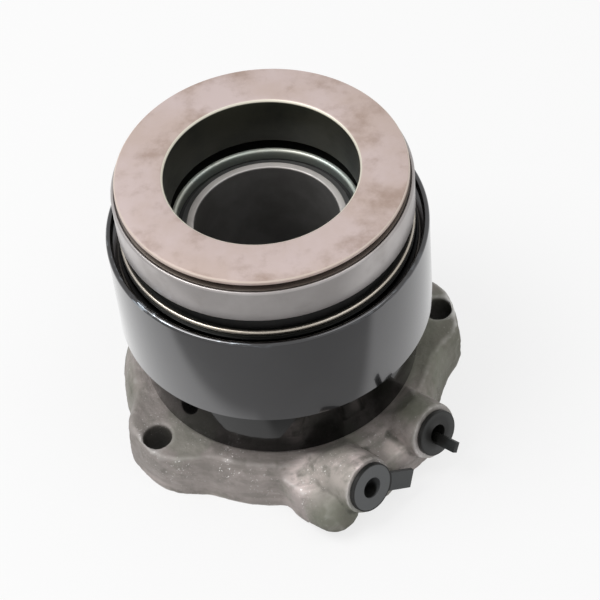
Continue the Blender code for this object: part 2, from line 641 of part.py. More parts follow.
def make_preload_spring():
    shape = bmesh.new()
    steps = int(SPRING_TURNS * SPRING_STEPS_PER_TURN)
    rows = []
    for i in range(steps + 1):
        share = i / steps
        angle = math.tau * SPRING_TURNS * share
        outward = Vector((math.cos(angle), math.sin(angle), 0.0))
        centre = outward * SPRING_MEAN_RADIUS + Vector((0, 0, spring_height(share)))
        row = []
        for side in range(SPRING_SIDES):
            around = math.tau * (side + 0.5) / SPRING_SIDES
            offset = outward * math.cos(around) + Vector((0, 0, math.sin(around)))
            row.append(shape.verts.new(centre + offset * SPRING_WIRE / 2))
        rows.append(row)
    for low, high in zip(rows, rows[1:]):
        for side in range(SPRING_SIDES):
            shape.faces.new((low[side - 1], low[side], high[side], high[side - 1]))
    shape.faces.new(list(reversed(rows[0])))
    shape.faces.new(rows[-1])
    bmesh.ops.recalc_face_normals(shape, faces=shape.faces)
    add_object("preload_spring", shape, ((0.25, 0.25, 0.26), 0.4, 1.0))


def make_stop_ring():
    inner = TUBE_OUTER_RADIUS - STOP_GROOVE_DEPTH + FIT_GAP
    outline = ring(inner, TUBE_OUTER_RADIUS + STOP_RING_STAND, STOP_RING_BOTTOM, STOP_RING_TOP)
    add_object("stop_ring", turned(outline), ((0.35, 0.35, 0.35), 0.4, 1.0))


def plug_base(name, frame, flange_radius, socket_radius, socket_depth):
    """Flange and stem of a port plug, with the blind socket in its outer face."""
    stem = PORT_HOLE_RADIUS - FIT_GAP
    bottom = FIT_GAP
    top = bottom + PLUG_FLANGE_THICKNESS
    outline = [
        (0.0, bottom - PLUG_STEM_LENGTH),
        (stem * 0.9, bottom - PLUG_STEM_LENGTH),
        (stem, bottom - PLUG_STEM_LENGTH * 0.8),
        (stem, bottom),
        (flange_radius, bottom),
        (flange_radius, top),
        (socket_radius, top),
        (socket_radius, top - socket_depth),
        (0.0, top - socket_depth),
    ]
    item = add_object(name, turned_plug(outline, 20), ((0.06, 0.065, 0.07), 0.5, 0.0))
    item.matrix_world = frame
    return item


def make_inlet_plug():
    sizes = (PLUG_FLANGE_RADIUS, INLET_SOCKET_RADIUS, INLET_SOCKET_DEPTH)
    plug = plug_base("inlet_port_plug", INLET_FRAME, *sizes)
    shape = bmesh.new()
    bmesh.ops.create_cube(shape, size=1.0)
    start = (PLUG_FLANGE_RADIUS + INLET_SOCKET_RADIUS) / 2
    bmesh.ops.scale(shape, vec=(TAB_REACH - start, TAB_WIDTH, PLUG_FLANGE_THICKNESS), verts=shape.verts)
    middle = ((TAB_REACH + start) / 2, TAB_SHIFT, FIT_GAP + PLUG_FLANGE_THICKNESS / 2)
    bmesh.ops.translate(shape, vec=middle, verts=shape.verts)
    corners = [e for e in shape.edges if min(v.co.x for v in e.verts) > TAB_REACH - FIT_GAP]
    corners = [e for e in corners if abs(e.verts[0].co.z - e.verts[1].co.z) > FIT_GAP]
    bmesh.ops.bevel(shape, geom=corners, offset=TAB_WIDTH / 6, segments=1, affect="EDGES")
    tab = add_object("inlet_plug_tab", shape)
    tab.matrix_world = INLET_FRAME @ Matrix.Rotation(TAB_ANGLE, 4, "Z")
    combine(plug, tab, "UNION")


def make_bleed_plug():
    sizes = (BLEED_FLANGE_RADIUS, BLEED_SOCKET_RADIUS, BLEED_SOCKET_DEPTH)
    plug = plug_base("bleed_port_plug", BLEED_FRAME, *sizes)
    shape = bmesh.new()
    bmesh.ops.create_cube(shape, size=1.0)
    bmesh.ops.scale(shape, vec=(BLADE_WIDTH, BLADE_THICKNESS, BLADE_LENGTH), verts=shape.verts)
    middle_height = (BLADE_LENGTH - PLUG_FLANGE_THICKNESS) / 2
    bmesh.ops.translate(shape, vec=(0, 0, middle_height), verts=shape.verts)
    tips = [e for e in shape.edges if min(v.co.z for v in e.verts) > BLADE_LENGTH / 2]
    tips = [e for e in tips if abs(e.verts[0].co.y - e.verts[1].co.y) > FIT_GAP]
    bmesh.ops.bevel(shape, geom=tips, offset=BLADE_WIDTH / 6, segments=1, affect="EDGES")
    blade = add_object("bleed_plug_blade", shape)
    foot = Matrix.Translation((0, -BLADE_DROP, FIT_GAP))
    blade.matrix_world = BLEED_FRAME @ foot @ Matrix.Rotation(BLADE_ANGLE, 4, "Z")
    combine(plug, blade, "UNION")


def make_dust_sleeve(parent):
    """The moving sleeve: one turned piece whose inner web carries the bearing and takes the spring."""
    inner = SLEEVE_RADIUS - SLEEVE_WALL
    web_inner = PISTON_OUTER_RADIUS + 2 * FIT_GAP
    rim_centre = (SLEEVE_RADIUS - SLEEVE_RIM_ROUND, SLEEVE_TOP - SLEEVE_RIM_ROUND)
    rim = arc(rim_centre, SLEEVE_RIM_ROUND, 0, 90, 3)
    outline = [
        (inner, SLEEVE_BOTTOM),
        (SLEEVE_RADIUS, SLEEVE_BOTTOM),
        *rim,
        (inner, SLEEVE_TOP),
        (inner, WEB_TOP),
        (web_inner, WEB_TOP),
        (web_inner, WEB_BOTTOM),
        (inner, WEB_BOTTOM),
    ]
    add_object("dust_sleeve", turned(outline), ((0.012, 0.012, 0.013), 0.10, 0.0), parent)


def make_piston(parent):
    """A hollow piston with a pushing flange, a top spigot and a wiper groove in its bore."""
    groove_outer = PISTON_INNER_RADIUS + WIPER_SECTION + FIT_GAP
    groove_top = PISTON_TOP - WIPER_DEPTH + FIT_GAP
    groove_bottom = groove_top - WIPER_LENGTH - 2 * FIT_GAP
    outline = [
        (PISTON_INNER_RADIUS, PISTON_BOTTOM),
        (PISTON_OUTER_RADIUS, PISTON_BOTTOM),
        (PISTON_OUTER_RADIUS, PISTON_FLANGE_BOTTOM),
        (PISTON_FLANGE_RADIUS, PISTON_FLANGE_BOTTOM),
        (PISTON_FLANGE_RADIUS, PISTON_FLANGE_TOP),
        (PISTON_OUTER_RADIUS, PISTON_FLANGE_TOP),
        (PISTON_OUTER_RADIUS, PISTON_TOP),
        (PISTON_INNER_RADIUS, PISTON_TOP),
        (PISTON_INNER_RADIUS, groove_top),
        (groove_outer, groove_top),
        (groove_outer, groove_bottom),
        (PISTON_INNER_RADIUS, groove_bottom),
    ]
    add_object("piston", turned(outline), ((0.05, 0.05, 0.05), 0.45, 0.0), parent)

    wiper_top = groove_top - FIT_GAP
    wiper_inner = PISTON_INNER_RADIUS
    wiper = ring(wiper_inner, wiper_inner + WIPER_SECTION, wiper_top - WIPER_LENGTH, wiper_top)
    add_object("piston_wiper", turned(wiper), ((0.03, 0.03, 0.03), 0.6, 0.0), parent)

    lip = (PISTON_OUTER_RADIUS - PISTON_INNER_RADIUS) / 4
    notch = SEAL_BOTTOM + PISTON_SEAL_LENGTH / 2
    middle = (PISTON_OUTER_RADIUS + PISTON_INNER_RADIUS) / 2
    seal = [
        (PISTON_INNER_RADIUS, SEAL_BOTTOM),
        (PISTON_INNER_RADIUS + lip, SEAL_BOTTOM),
        (middle, notch),
        (PISTON_OUTER_RADIUS - lip, SEAL_BOTTOM),
        (PISTON_OUTER_RADIUS, SEAL_BOTTOM),
        (PISTON_OUTER_RADIUS, SEAL_TOP),
        (PISTON_INNER_RADIUS, SEAL_TOP),
    ]
    add_object("piston_seal", turned(seal), ((0.02, 0.02, 0.02), 0.65, 0.0), parent)


def make_spring_seat(parent):
    top = WEB_BOTTOM - FIT_GAP
    outline = ring(SPRING_SEAT_INNER_RADIUS, SPRING_SEAT_OUTER_RADIUS, top - SPRING_SEAT_THICKNESS, top)
    add_object("spring_seat", turned(outline), ((0.3, 0.3, 0.28), 0.5, 0.0), parent)


def make_bearing_carrier(parent):
    """A pressed dish: flat under the bearing, with a rolled lip round its bore."""
    lip_outer = CARRIER_LIP_RADIUS + CARRIER_LIP_WIDTH
    lip_top = CARRIER_BOTTOM + CARRIER_LIP_HEIGHT
    lip_round = CARRIER_LIP_WIDTH / 2
    roll = arc((CARRIER_LIP_RADIUS + lip_round, lip_top - lip_round), lip_round, 0, 180, 5)
    outline = [
        (CARRIER_LIP_RADIUS, CARRIER_BOTTOM),
        (CARRIER_RADIUS, CARRIER_BOTTOM),
        (CARRIER_RADIUS, CARRIER_TOP),
        (lip_outer, CARRIER_TOP),
        *roll,
    ]
    add_object("bearing_carrier", turned(outline), ((0.55, 0.54, 0.48), 0.3, 1.0), parent)

    centring = ring(
        CENTRING_RING_INNER_RADIUS, CENTRING_RING_OUTER_RADIUS, CENTRING_RING_BOTTOM, CENTRING_RING_TOP
    )
    add_object("centring_ring", turned(centring), ((0.02, 0.02, 0.02), 0.6, 0.0), parent)

    wire_radius = CARRIER_RADIUS - RETAINER_WIRE / 2
    wire = round_section(wire_radius, CARRIER_TOP + FIT_GAP + RETAINER_WIRE / 2, RETAINER_WIRE, 6)
    start = RETAINER_GAP_ANGLE + RETAINER_GAP_WIDTH / 2
    split = turned(wire, TURN_STEPS - 1, start, math.tau - RETAINER_GAP_WIDTH)
    add_object("retaining_ring", split, ((0.75, 0.72, 0.66), 0.25, 1.0), parent)


def race_angle(shoulder):
    return math.degrees(math.acos(shoulder / RACE_RADIUS))


def make_bearing_outer_ring(parent):
    """The still ring: its race holds the balls from below and outside."""
    centre = (BALL_PITCH_RADIUS, BALL_CENTRE)
    low = race_angle(LOW_SHOULDER)
    high = race_angle(HIGH_SHOULDER)
    race = arc(centre, RACE_RADIUS, low, -180 + high, RACE_POINTS)
    upper_bore = BALL_PITCH_RADIUS + LOW_SHOULDER
    lower_bore = BALL_PITCH_RADIUS - HIGH_SHOULDER
    lip = BEARING_RADIUS - SHIELD_LIP
    recess = BEARING_TOP - SHIELD_THICKNESS - FIT_GAP
    outline = [
        (lower_bore, BEARING_BOTTOM),
        (BEARING_RADIUS - BEARING_CHAMFER, BEARING_BOTTOM),
        (BEARING_RADIUS, BEARING_BOTTOM + BEARING_CHAMFER),
        (BEARING_RADIUS, BEARING_TOP - BEARING_CHAMFER),
        (BEARING_RADIUS - BEARING_CHAMFER, BEARING_TOP),
        (lip, BEARING_TOP),
        (lip, recess),
        (upper_bore, recess),
        *race,
    ]
    add_object("bearing_outer_ring", turned(outline), ((0.56, 0.55, 0.56), 0.3, 1.0), parent)

    hub = BALL_PITCH_RADIUS + HIGH_SHOULDER
    shield = ring(hub + RUNNING_GAP, lip - FIT_GAP, BEARING_TOP - SHIELD_THICKNESS, BEARING_TOP)
    add_object("bearing_shield", turned(shield), ((0.30, 0.27, 0.25), 0.4, 1.0), parent)

    low_hub = BALL_PITCH_RADIUS - LOW_SHOULDER
    seal_bottom = BEARING_BOTTOM + FIT_GAP / 3
    seal_top = seal_bottom + BEARING_SEAL_THICKNESS
    seal = ring(low_hub + RUNNING_GAP, lower_bore - FIT_GAP, seal_bottom, seal_top)
    add_object("bearing_seal", turned(seal), ((0.02, 0.02, 0.02), 0.6, 0.0), parent)


def make_thrust_ring(parent):
    """The turning ring: a flat face for the clutch levers on a hub with the inner race."""
    centre = (BALL_PITCH_RADIUS, BALL_CENTRE)
    low = race_angle(LOW_SHOULDER)
    high = race_angle(HIGH_SHOULDER)
    race = arc(centre, RACE_RADIUS, high, 180 + low, RACE_POINTS)
    low_hub = BALL_PITCH_RADIUS - LOW_SHOULDER
    hub = BALL_PITCH_RADIUS + HIGH_SHOULDER
    underside = THRUST_FACE - THRUST_FLANGE_DEPTH
    hub_bottom = BEARING_BOTTOM - THRUST_HUB_DROP
    mouth_centre = (THRUST_BORE_RADIUS + THRUST_BORE_ROUND, THRUST_FACE - THRUST_BORE_ROUND)
    mouth = arc(mouth_centre, THRUST_BORE_ROUND, 90, 180, 3)
    outline = [
        (THRUST_BORE_RADIUS, hub_bottom),
        (low_hub, hub_bottom),
        *reversed(race),
        (hub, underside),
        (hub + THRUST_FLANGE_DEPTH, underside),
        (THRUST_FACE_RADIUS, THRUST_RIM_BOTTOM),
        (THRUST_FACE_RADIUS, THRUST_FACE - THRUST_EDGE_BEVEL),
        (THRUST_FACE_RADIUS - THRUST_EDGE_BEVEL, THRUST_FACE),
        *mouth,
    ]
    add_object("thrust_ring", turned(outline), ((0.52, 0.43, 0.40), 0.45, 0.9), parent)


def make_ball_cage(parent):
    """A conical cage that runs from the inner corner below the balls to the outer one above them."""
    along = Vector((math.cos(CAGE_SLOPE), math.sin(CAGE_SLOPE)))
    across = Vector((along.y, -along.x))
    centre = Vector((BALL_PITCH_RADIUS, BALL_CENTRE))
    corners = [(-1, -1), (-1, 1), (1, 1), (1, -1)]
    outline = []
    for end, side in corners:
        outline.append(centre + along * end * CAGE_HALF_LENGTH + across * side * CAGE_THICKNESS / 2)
    cage = add_object("ball_cage", turned(outline), ((0.45, 0.33, 0.14), 0.5, 0.2), parent)

    shape = bmesh.new()
    for i in range(BALL_COUNT):
        angle = math.tau * i / BALL_COUNT
        place = Matrix.Rotation(angle, 4, "Z") @ Matrix.Translation((centre.x, 0, centre.y))
        tilt = Matrix.Rotation(-CAGE_SLOPE, 4, "Y")
        bmesh.ops.create_cone(
            shape, cap_ends=True, segments=8, radius1=RACE_RADIUS, radius2=RACE_RADIUS,
            depth=4 * CAGE_THICKNESS, matrix=place @ tilt
        )
    combine(cage, add_object("cage_pockets", shape, parent=parent), "DIFFERENCE")


def make_balls(parent):
    shape = bmesh.new()
    bmesh.ops.create_uvsphere(shape, u_segments=8, v_segments=6, radius=BALL_RADIUS)
    first = add_object("ball_01", shape, ((0.6, 0.6, 0.6), 0.1, 1.0), parent)
    for i in range(BALL_COUNT):
        ball = first
        if i:
            ball = bpy.data.objects.new("ball_%02d" % (i + 1), first.data)
            bpy.context.scene.collection.objects.link(ball)
            ball.parent = parent
        angle = math.tau * i / BALL_COUNT
        pitch = Vector((math.cos(angle), math.sin(angle), 0.0)) * BALL_PITCH_RADIUS
        ball.location = pitch + Vector((0, 0, BALL_CENTRE))
        ball.rotation_euler = (0, 0, angle)


clear_scene()
make_cast_body()
make_guide_tube()
make_static_seals()
make_spring_housing()
make_preload_spring()
make_stop_ring()
make_inlet_plug()
make_bleed_plug()

release_axis = add_axis("release_axis")
thrust_axis = add_axis("thrust_axis", release_axis)
cage_axis = add_axis("cage_axis", release_axis)
make_dust_sleeve(release_axis)
make_piston(release_axis)
make_spring_seat(release_axis)
make_bearing_carrier(release_axis)
make_bearing_outer_ring(release_axis)
make_thrust_ring(thrust_axis)
make_ball_cage(cage_axis)
make_balls(cage_axis)
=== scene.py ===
import math

import bmesh
import bpy
from mathutils import Euler, Matrix, Vector


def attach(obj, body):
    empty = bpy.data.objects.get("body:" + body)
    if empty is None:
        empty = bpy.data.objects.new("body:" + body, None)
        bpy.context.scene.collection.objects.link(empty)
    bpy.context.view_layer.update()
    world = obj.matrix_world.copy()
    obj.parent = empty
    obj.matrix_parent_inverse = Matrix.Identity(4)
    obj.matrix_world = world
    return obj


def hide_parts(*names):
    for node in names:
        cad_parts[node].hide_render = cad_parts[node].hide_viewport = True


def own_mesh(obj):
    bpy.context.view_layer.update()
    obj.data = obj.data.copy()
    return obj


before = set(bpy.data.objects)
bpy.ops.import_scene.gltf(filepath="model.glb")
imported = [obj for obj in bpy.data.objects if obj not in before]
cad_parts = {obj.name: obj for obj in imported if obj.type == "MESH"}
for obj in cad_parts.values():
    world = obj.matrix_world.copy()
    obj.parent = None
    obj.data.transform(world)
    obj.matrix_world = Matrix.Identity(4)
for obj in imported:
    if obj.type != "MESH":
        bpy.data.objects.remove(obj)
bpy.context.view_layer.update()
scene = bpy.context.scene
print("frame loaded")


# selecting, and the small steps of hand modelling

def deselectAll():
    if bpy.context.mode != "OBJECT":
        bpy.ops.object.mode_set(mode="OBJECT")
    bpy.ops.object.select_all(action="DESELECT")


def takeUp(piece):
    deselectAll()
    piece.select_set(True)
    bpy.context.view_layer.objects.active = piece


def settle(piece):
    takeUp(piece)
    bpy.ops.object.transform_apply(location=True, rotation=True, scale=True)


def applyAll(piece):
    takeUp(piece)
    for step in list(piece.modifiers):
        bpy.ops.object.modifier_apply(modifier=step.name)


def softenEdges(piece, width, segments=2, angle=35.0):
    step = piece.modifiers.new("softEdge", "BEVEL")
    step.limit_method = "ANGLE"
    step.angle_limit = math.radians(angle)
    step.width = width
    step.segments = segments
    step.use_clamp_overlap = True
    applyAll(piece)


def smoothShade(piece, angle=32.0):
    takeUp(piece)
    bpy.ops.object.shade_smooth_by_angle(angle=math.radians(angle))


def joinTo(piece, tool):
    step = piece.modifiers.new("join", "BOOLEAN")
    step.operation = "UNION"
    step.solver = "EXACT"
    step.object = tool
    takeUp(piece)
    bpy.ops.object.modifier_apply(modifier=step.name)
    bpy.data.objects.remove(tool, do_unlink=True)


def mm(value):
    return value / 1000.0


def bow(centreRadius, centreHeight, radius, start, end, count):
    # points of a round corner, in mm, with the angles in degrees
    points = []
    for i in range(count):
        angle = math.radians(start + (end - start) * i / (count - 1))
        points.append((centreRadius + radius * math.cos(angle), centreHeight + radius * math.sin(angle)))
    return points


roundness = {"steps": 192, "edge": 0.00012, "merge": 0.000004}


def pullCircle(name, outline, steps):
    # a circle is pulled from point to point of the outline (radius, height in mm)
    deselectAll()
    here = outline[0]
    bpy.ops.mesh.primitive_circle_add(vertices=steps, radius=mm(here[0]), location=(0, 0, mm(here[1])))
    piece = bpy.context.object
    piece.name = name
    bpy.ops.object.mode_set(mode="EDIT")
    bpy.ops.mesh.select_all(action="SELECT")
    for spot in outline[1:]:
        bpy.ops.mesh.extrude_edges_move(TRANSFORM_OT_translate={"value": (0, 0, mm(spot[1] - here[1]))})
        grow = spot[0] / here[0]
        bpy.ops.transform.resize(value=(grow, grow, 1), center_override=(0, 0, mm(spot[1])))
        here = spot
    bpy.ops.object.mode_set(mode="OBJECT")
    settle(piece)
    return piece


def turnPiece(name, outline):
    # a ring: the outline is closed on itself
    piece = pullCircle(name, outline + outline[:1], roundness["steps"])
    bpy.ops.object.mode_set(mode="EDIT")
    bpy.ops.mesh.select_all(action="SELECT")
    bpy.ops.mesh.remove_doubles(threshold=roundness["merge"])
    bpy.ops.mesh.normals_make_consistent(inside=False)
    bpy.ops.object.mode_set(mode="OBJECT")
    return piece


def turnPlug(name, outline, steps):
    # a full piece: the outline's two ends are closed over the axis
    piece = pullCircle(name, outline, steps)
    bpy.ops.object.mode_set(mode="EDIT")
    bpy.ops.mesh.select_all(action="SELECT")
    bpy.ops.mesh.region_to_loop()
    bpy.ops.mesh.fill_holes(sides=0)
    bpy.ops.mesh.select_all(action="SELECT")
    bpy.ops.mesh.fill_holes(sides=0)
    bpy.ops.mesh.normals_make_consistent(inside=False)
    bpy.ops.object.mode_set(mode="OBJECT")
    return piece


# shader groups that several finishes share

def newGroup(name, inputs, outputs):
    group = bpy.data.node_groups.new(name, "ShaderNodeTree")
    for label, kind, value in inputs:
        socket = group.interface.new_socket(name=label, in_out="INPUT", socket_type=kind)
        if value is not None:
            socket.default_value = value
    for label, kind in outputs:
        group.interface.new_socket(name=label, in_out="OUTPUT", socket_type=kind)
    start = group.nodes.new("NodeGroupInput")
    end = group.nodes.new("NodeGroupOutput")
    return group, start, end


def addMath(tree, operation, first, second=None, clamp=False):
    node = tree.nodes.new("ShaderNodeMath")
    node.operation = operation
    node.use_clamp = clamp
    for i, value in enumerate((first, second)):
        if value is None:
            continue
        if isinstance(value, (int, float)):
            node.inputs[i].default_value = value
        else:
            tree.links.new(value, node.inputs[i])
    return node.outputs[0]


def addRange(tree, value, low, high, outLow=0.0, outHigh=1.0, smooth=True):
    node = tree.nodes.new("ShaderNodeMapRange")
    node.interpolation_type = "SMOOTHSTEP" if smooth else "LINEAR"
    tree.links.new(value, node.inputs["Value"])
    for label, number in (("From Min", low), ("From Max", high), ("To Min", outLow), ("To Max", outHigh)):
        if isinstance(number, (int, float)):
            node.inputs[label].default_value = number
        else:
            tree.links.new(number, node.inputs[label])
    return node.outputs["Result"]


def addNoise(tree, vector, scale, detail=4.0, roughness=0.6):
    node = tree.nodes.new("ShaderNodeTexNoise")
    tree.links.new(vector, node.inputs["Vector"])
    for label, value in (("Scale", scale), ("Detail", detail), ("Roughness", roughness)):
        if isinstance(value, (int, float)):
            node.inputs[label].default_value = value
        else:
            tree.links.new(value, node.inputs[label])
    return node.outputs["Fac"]


def addNear(tree, place, spot, near, far):
    # 1 close to a spot of the object, 0 away from it
    node = tree.nodes.new("ShaderNodeVectorMath")
    node.operation = "DISTANCE"
    tree.links.new(place, node.inputs[0])
    node.inputs[1].default_value = spot
    return addRange(tree, node.outputs["Value"], near, far, 1.0, 0.0)


def addMix(tree, share, first, second):
    node = tree.nodes.new("ShaderNodeMix")
    node.data_type = "RGBA"
    if isinstance(share, (int, float)):
        node.inputs["Factor"].default_value = share
    else:
        tree.links.new(share, node.inputs["Factor"])
    for label, value in (("A", first), ("B", second)):
        socket = [s for s in node.inputs if s.name == label and s.type == "RGBA"][0]
        if isinstance(value, tuple):
            socket.default_value = (*value, 1.0)
        else:
            tree.links.new(value, socket)
    return [s for s in node.outputs if s.type == "RGBA"][0]


def buildCloudGroup():
    # soft patches, for stains, dust and uneven colour
    group, start, end = newGroup(
        "clouds",
        [("Vector", "NodeSocketVector", None), ("Scale", "NodeSocketFloat", 60.0),
         ("Low", "NodeSocketFloat", 0.45), ("High", "NodeSocketFloat", 0.65)],
        [("Mask", "NodeSocketFloat")],
    )
    noise = addNoise(group, start.outputs["Vector"], start.outputs["Scale"], detail=5.0, roughness=0.6)
    mask = addRange(group, noise, start.outputs["Low"], start.outputs["High"])
    group.links.new(mask, end.inputs["Mask"])
    return group


# where a fleck starts in the fine noise, what the amount takes off that, and where the patches lie
speckTones = {"start": 0.78, "amountShare": 0.3, "soft": 0.06, "patch": (0.48, 0.6)}


def buildSpeckGroup():
    # small scattered flecks: a fine noise that only shows inside a coarse one
    group, start, end = newGroup(
        "specks",
        [("Vector", "NodeSocketVector", None), ("Scale", "NodeSocketFloat", 900.0),
         ("Patch Scale", "NodeSocketFloat", 120.0), ("Amount", "NodeSocketFloat", 0.5)],
        [("Mask", "NodeSocketFloat")],
    )
    fine = addNoise(group, start.outputs["Vector"], start.outputs["Scale"], detail=2.0, roughness=0.5)
    coarse = addNoise(group, start.outputs["Vector"], start.outputs["Patch Scale"], detail=3.0, roughness=0.6)
    taken = addMath(group, "MULTIPLY", start.outputs["Amount"], speckTones["amountShare"])
    limit = addMath(group, "SUBTRACT", speckTones["start"], taken)
    dots = addRange(group, fine, limit, addMath(group, "ADD", limit, speckTones["soft"]))
    patch = addRange(group, coarse, *speckTones["patch"])
    group.links.new(addMath(group, "MULTIPLY", dots, patch), end.inputs["Mask"])
    return group


# metres of pattern for one radian round the axis, so that marks are drawn out along the rings
drawnOut = 0.010


def buildTurnedGroup():
    # the fine rings that a lathe or a grinding wheel leaves, by radius and by height
    group, start, end = newGroup(
        "turnedLines",
        [("Vector", "NodeSocketVector", None), ("Scale", "NodeSocketFloat", 4000.0)],
        [("Height", "NodeSocketFloat"), ("Radius", "NodeSocketFloat"), ("Up", "NodeSocketFloat"),
         ("Round", "NodeSocketVector")],
    )
    split = group.nodes.new("ShaderNodeSeparateXYZ")
    group.links.new(start.outputs["Vector"], split.inputs[0])
    across = addMath(group, "MULTIPLY", split.outputs["X"], split.outputs["X"])
    along = addMath(group, "MULTIPLY", split.outputs["Y"], split.outputs["Y"])
    radius = addMath(group, "SQRT", addMath(group, "ADD", across, along))
    join = group.nodes.new("ShaderNodeCombineXYZ")
    group.links.new(radius, join.inputs["X"])
    group.links.new(split.outputs["Z"], join.inputs["Z"])
    lines = addNoise(group, join.outputs[0], start.outputs["Scale"], detail=3.0, roughness=0.7)
    drawn = group.nodes.new("ShaderNodeCombineXYZ")
    angle = addMath(group, "ARCTAN2", split.outputs["Y"], split.outputs["X"])
    group.links.new(addMath(group, "MULTIPLY", angle, drawnOut), drawn.inputs["X"])
    group.links.new(radius, drawn.inputs["Y"])
    group.links.new(split.outputs["Z"], drawn.inputs["Z"])
    group.links.new(drawn.outputs[0], end.inputs["Round"])
    group.links.new(lines, end.inputs["Height"])
    group.links.new(radius, end.inputs["Radius"])
    group.links.new(split.outputs["Z"], end.inputs["Up"])
    return group


def buildGrainGroup():
    # the skin of a casting: fine sand grain over soft lumps
    group, start, end = newGroup(
        "castGrain",
        [("Vector", "NodeSocketVector", None), ("Scale", "NodeSocketFloat", 700.0),
         ("Lump Scale", "NodeSocketFloat", 160.0), ("Lump Share", "NodeSocketFloat", 0.5)],
        [("Height", "NodeSocketFloat")],
    )
    fine = addNoise(group, start.outputs["Vector"], start.outputs["Scale"], detail=4.0, roughness=0.65)
    lumps = addNoise(group, start.outputs["Vector"], start.outputs["Lump Scale"], detail=3.0, roughness=0.5)
    lumps = addMath(group, "MULTIPLY", lumps, start.outputs["Lump Share"])
    group.links.new(addMath(group, "ADD", fine, lumps), end.inputs["Height"])
    return group


cloudGroup = buildCloudGroup()
speckGroup = buildSpeckGroup()
turnedGroup = buildTurnedGroup()
grainGroup = buildGrainGroup()
print("shader groups built")


def placeGroup(tree, group, values):
    node = tree.nodes.new("ShaderNodeGroup")
    node.node_tree = group
    for label, value in values.items():
        if isinstance(value, (int, float)):
            node.inputs[label].default_value = value
        else:
            tree.links.new(value, node.inputs[label])
    return node


def startFinish(name):
    material = bpy.data.materials.new(name)
    material.use_nodes = True
    tree = material.node_tree
    shader = tree.nodes["Principled BSDF"]
    place = tree.nodes.new("ShaderNodeTexCoord").outputs["Object"]
    return material, tree, shader, place


def addBump(tree, shader, height, strength, distance):
    bump = tree.nodes.new("ShaderNodeBump")
    bump.inputs["Strength"].default_value = strength
    bump.inputs["Distance"].default_value = distance
    tree.links.new(height, bump.inputs["Height"])
    tree.links.new(bump.outputs["Normal"], shader.inputs["Normal"])


# finishes

# the bolt holes; their dark radii bound the painted shade inside them
boltHoles = {"circle": 51.2, "angles": (8.3, 113.3, 218.3), "dark": (4.1, 4.7), "calm": 5.4}
castFinish = {
    "base": (0.300, 0.268, 0.250), "pale": (0.42, 0.368, 0.350), "dark": (0.145, 0.138, 0.118),
    # the fleck colour serves real flecks, worn ridges and painted glints
    "greenish": (0.235, 0.245, 0.195), "hollow": (0.060, 0.060, 0.045), "fleck": (0.92, 0.90, 0.88),
    "paintedSheen": (0.80, 0.69, 0.66), "shade": (0.125, 0.130, 0.092), "holeShade": (0.035, 0.036, 0.028),
    "metallic": 0.15, "roughness": 0.54, "brightSmooth": 0.22, "darkRough": 0.15,
    "paleClouds": {"Scale": 62.0, "Low": 0.42, "High": 0.64},
    "darkClouds": {"Scale": 150.0, "Low": 0.5, "High": 0.7},
    "flowClouds": {"Scale": 330.0, "Low": 0.46, "High": 0.66},
    "greenClouds": {"Scale": 48.0, "Low": 0.5, "High": 0.62},
    "flecks": {"Scale": 1500.0, "Patch Scale": 110.0, "Amount": 0.5},
    "grain": {"Scale": 700.0, "Lump Scale": 170.0, "Lump Share": 1.1},
    "grainStrength": 0.4, "grainDepth": 0.0005,
    # how much of each effect is taken
    "darkShare": 0.5, "flowShare": 0.35, "paintedShadeShare": 0.75, "greenShare": 0.45, "hollowShare": 0.85,
    "paintedSheenLoss": 0.7, "fleckShare": 0.3, "fleckWorn": 0.6, "ridgeShare": 0.15, "ridgePale": 0.5,
    # the tones of the shadeAndWear layer at which a crease's painted shade or a ridge's wear starts and is full
    "hollowTones": (0.47, 0.36), "ridgeTones": (0.55, 0.70),
    # round places: a middle in metres, the full radius and the radius where it ends
    # painted sheen: pale spots where a highlight falls on the inlet boss top, the gusset flank and the web
    "paintedSheenSpots": [
        ((0.0150, -0.0545, 0.0240), 0.004, 0.011), ((0.0040, -0.0520, 0.0160), 0.003, 0.009),
        ((0.0310, -0.0435, 0.0125), 0.001, 0.005),
    ],
    # painted glints: spots where bright flecks gather, on the shoulder, the gusset crest and the inlet boss
    "paintedGlintSpots": [
        ((-0.0190, -0.0452, 0.0130), 0.002, 0.010), ((-0.0006, -0.0540, 0.0120), 0.002, 0.009),
        ((0.0051, -0.0516, 0.0180), 0.001, 0.007), ((-0.0330, -0.0380, 0.0100), 0.001, 0.007),
        ((0.0085, -0.0580, 0.0110), 0.001, 0.005),
    ],
    # painted shade: dark patches on the lump under the inlet port, between the bosses and the neck, over the right
    # ear away from the lamp, and on the lit edge of the left ear
    "paintedShadeSpots": [
        ((0.0130, -0.0640, 0.0060), 0.0075, 0.0115), ((0.0375, -0.0340, 0.0240), 0.004, 0.010),
        ((0.0560, -0.0060, 0.0120), 0.012, 0.034), ((-0.0530, -0.0130, 0.0140), 0.002, 0.012),
    ],
}


def boltPlaces():
    # the middles of the three bolt holes, in metres
    circle = mm(boltHoles["circle"])
    turns = [math.radians(angle) for angle in boltHoles["angles"]]
    return [(circle * math.cos(turn), circle * math.sin(turn), 0.0) for turn in turns]


def addSpots(tree, place, spots):
    # the sum of several soft round places
    total = 0.0
    for spot, near, far in spots:
        total = addMath(tree, "ADD", addNear(tree, place, spot, near, far), total, clamp=True)
    return total


def addClouds(tree, place, measures):
    return placeGroup(tree, cloudGroup, {"Vector": place, **measures}).outputs["Mask"]


def addHoleShade(tree, place, colour):
    # painted shade: the bolt holes are darkened inside, and only the distance from each hole's axis counts
    flat = tree.nodes.new("ShaderNodeVectorMath")
    flat.operation = "MULTIPLY"
    flat.inputs[1].default_value = (1, 1, 0)
    tree.links.new(place, flat.inputs[0])
    full, ended = (mm(radius) for radius in boltHoles["dark"])
    for spot in boltPlaces():
        colour = addMix(tree, addNear(tree, flat.outputs[0], spot, full, ended), colour, castFinish["holeShade"])
    return colour


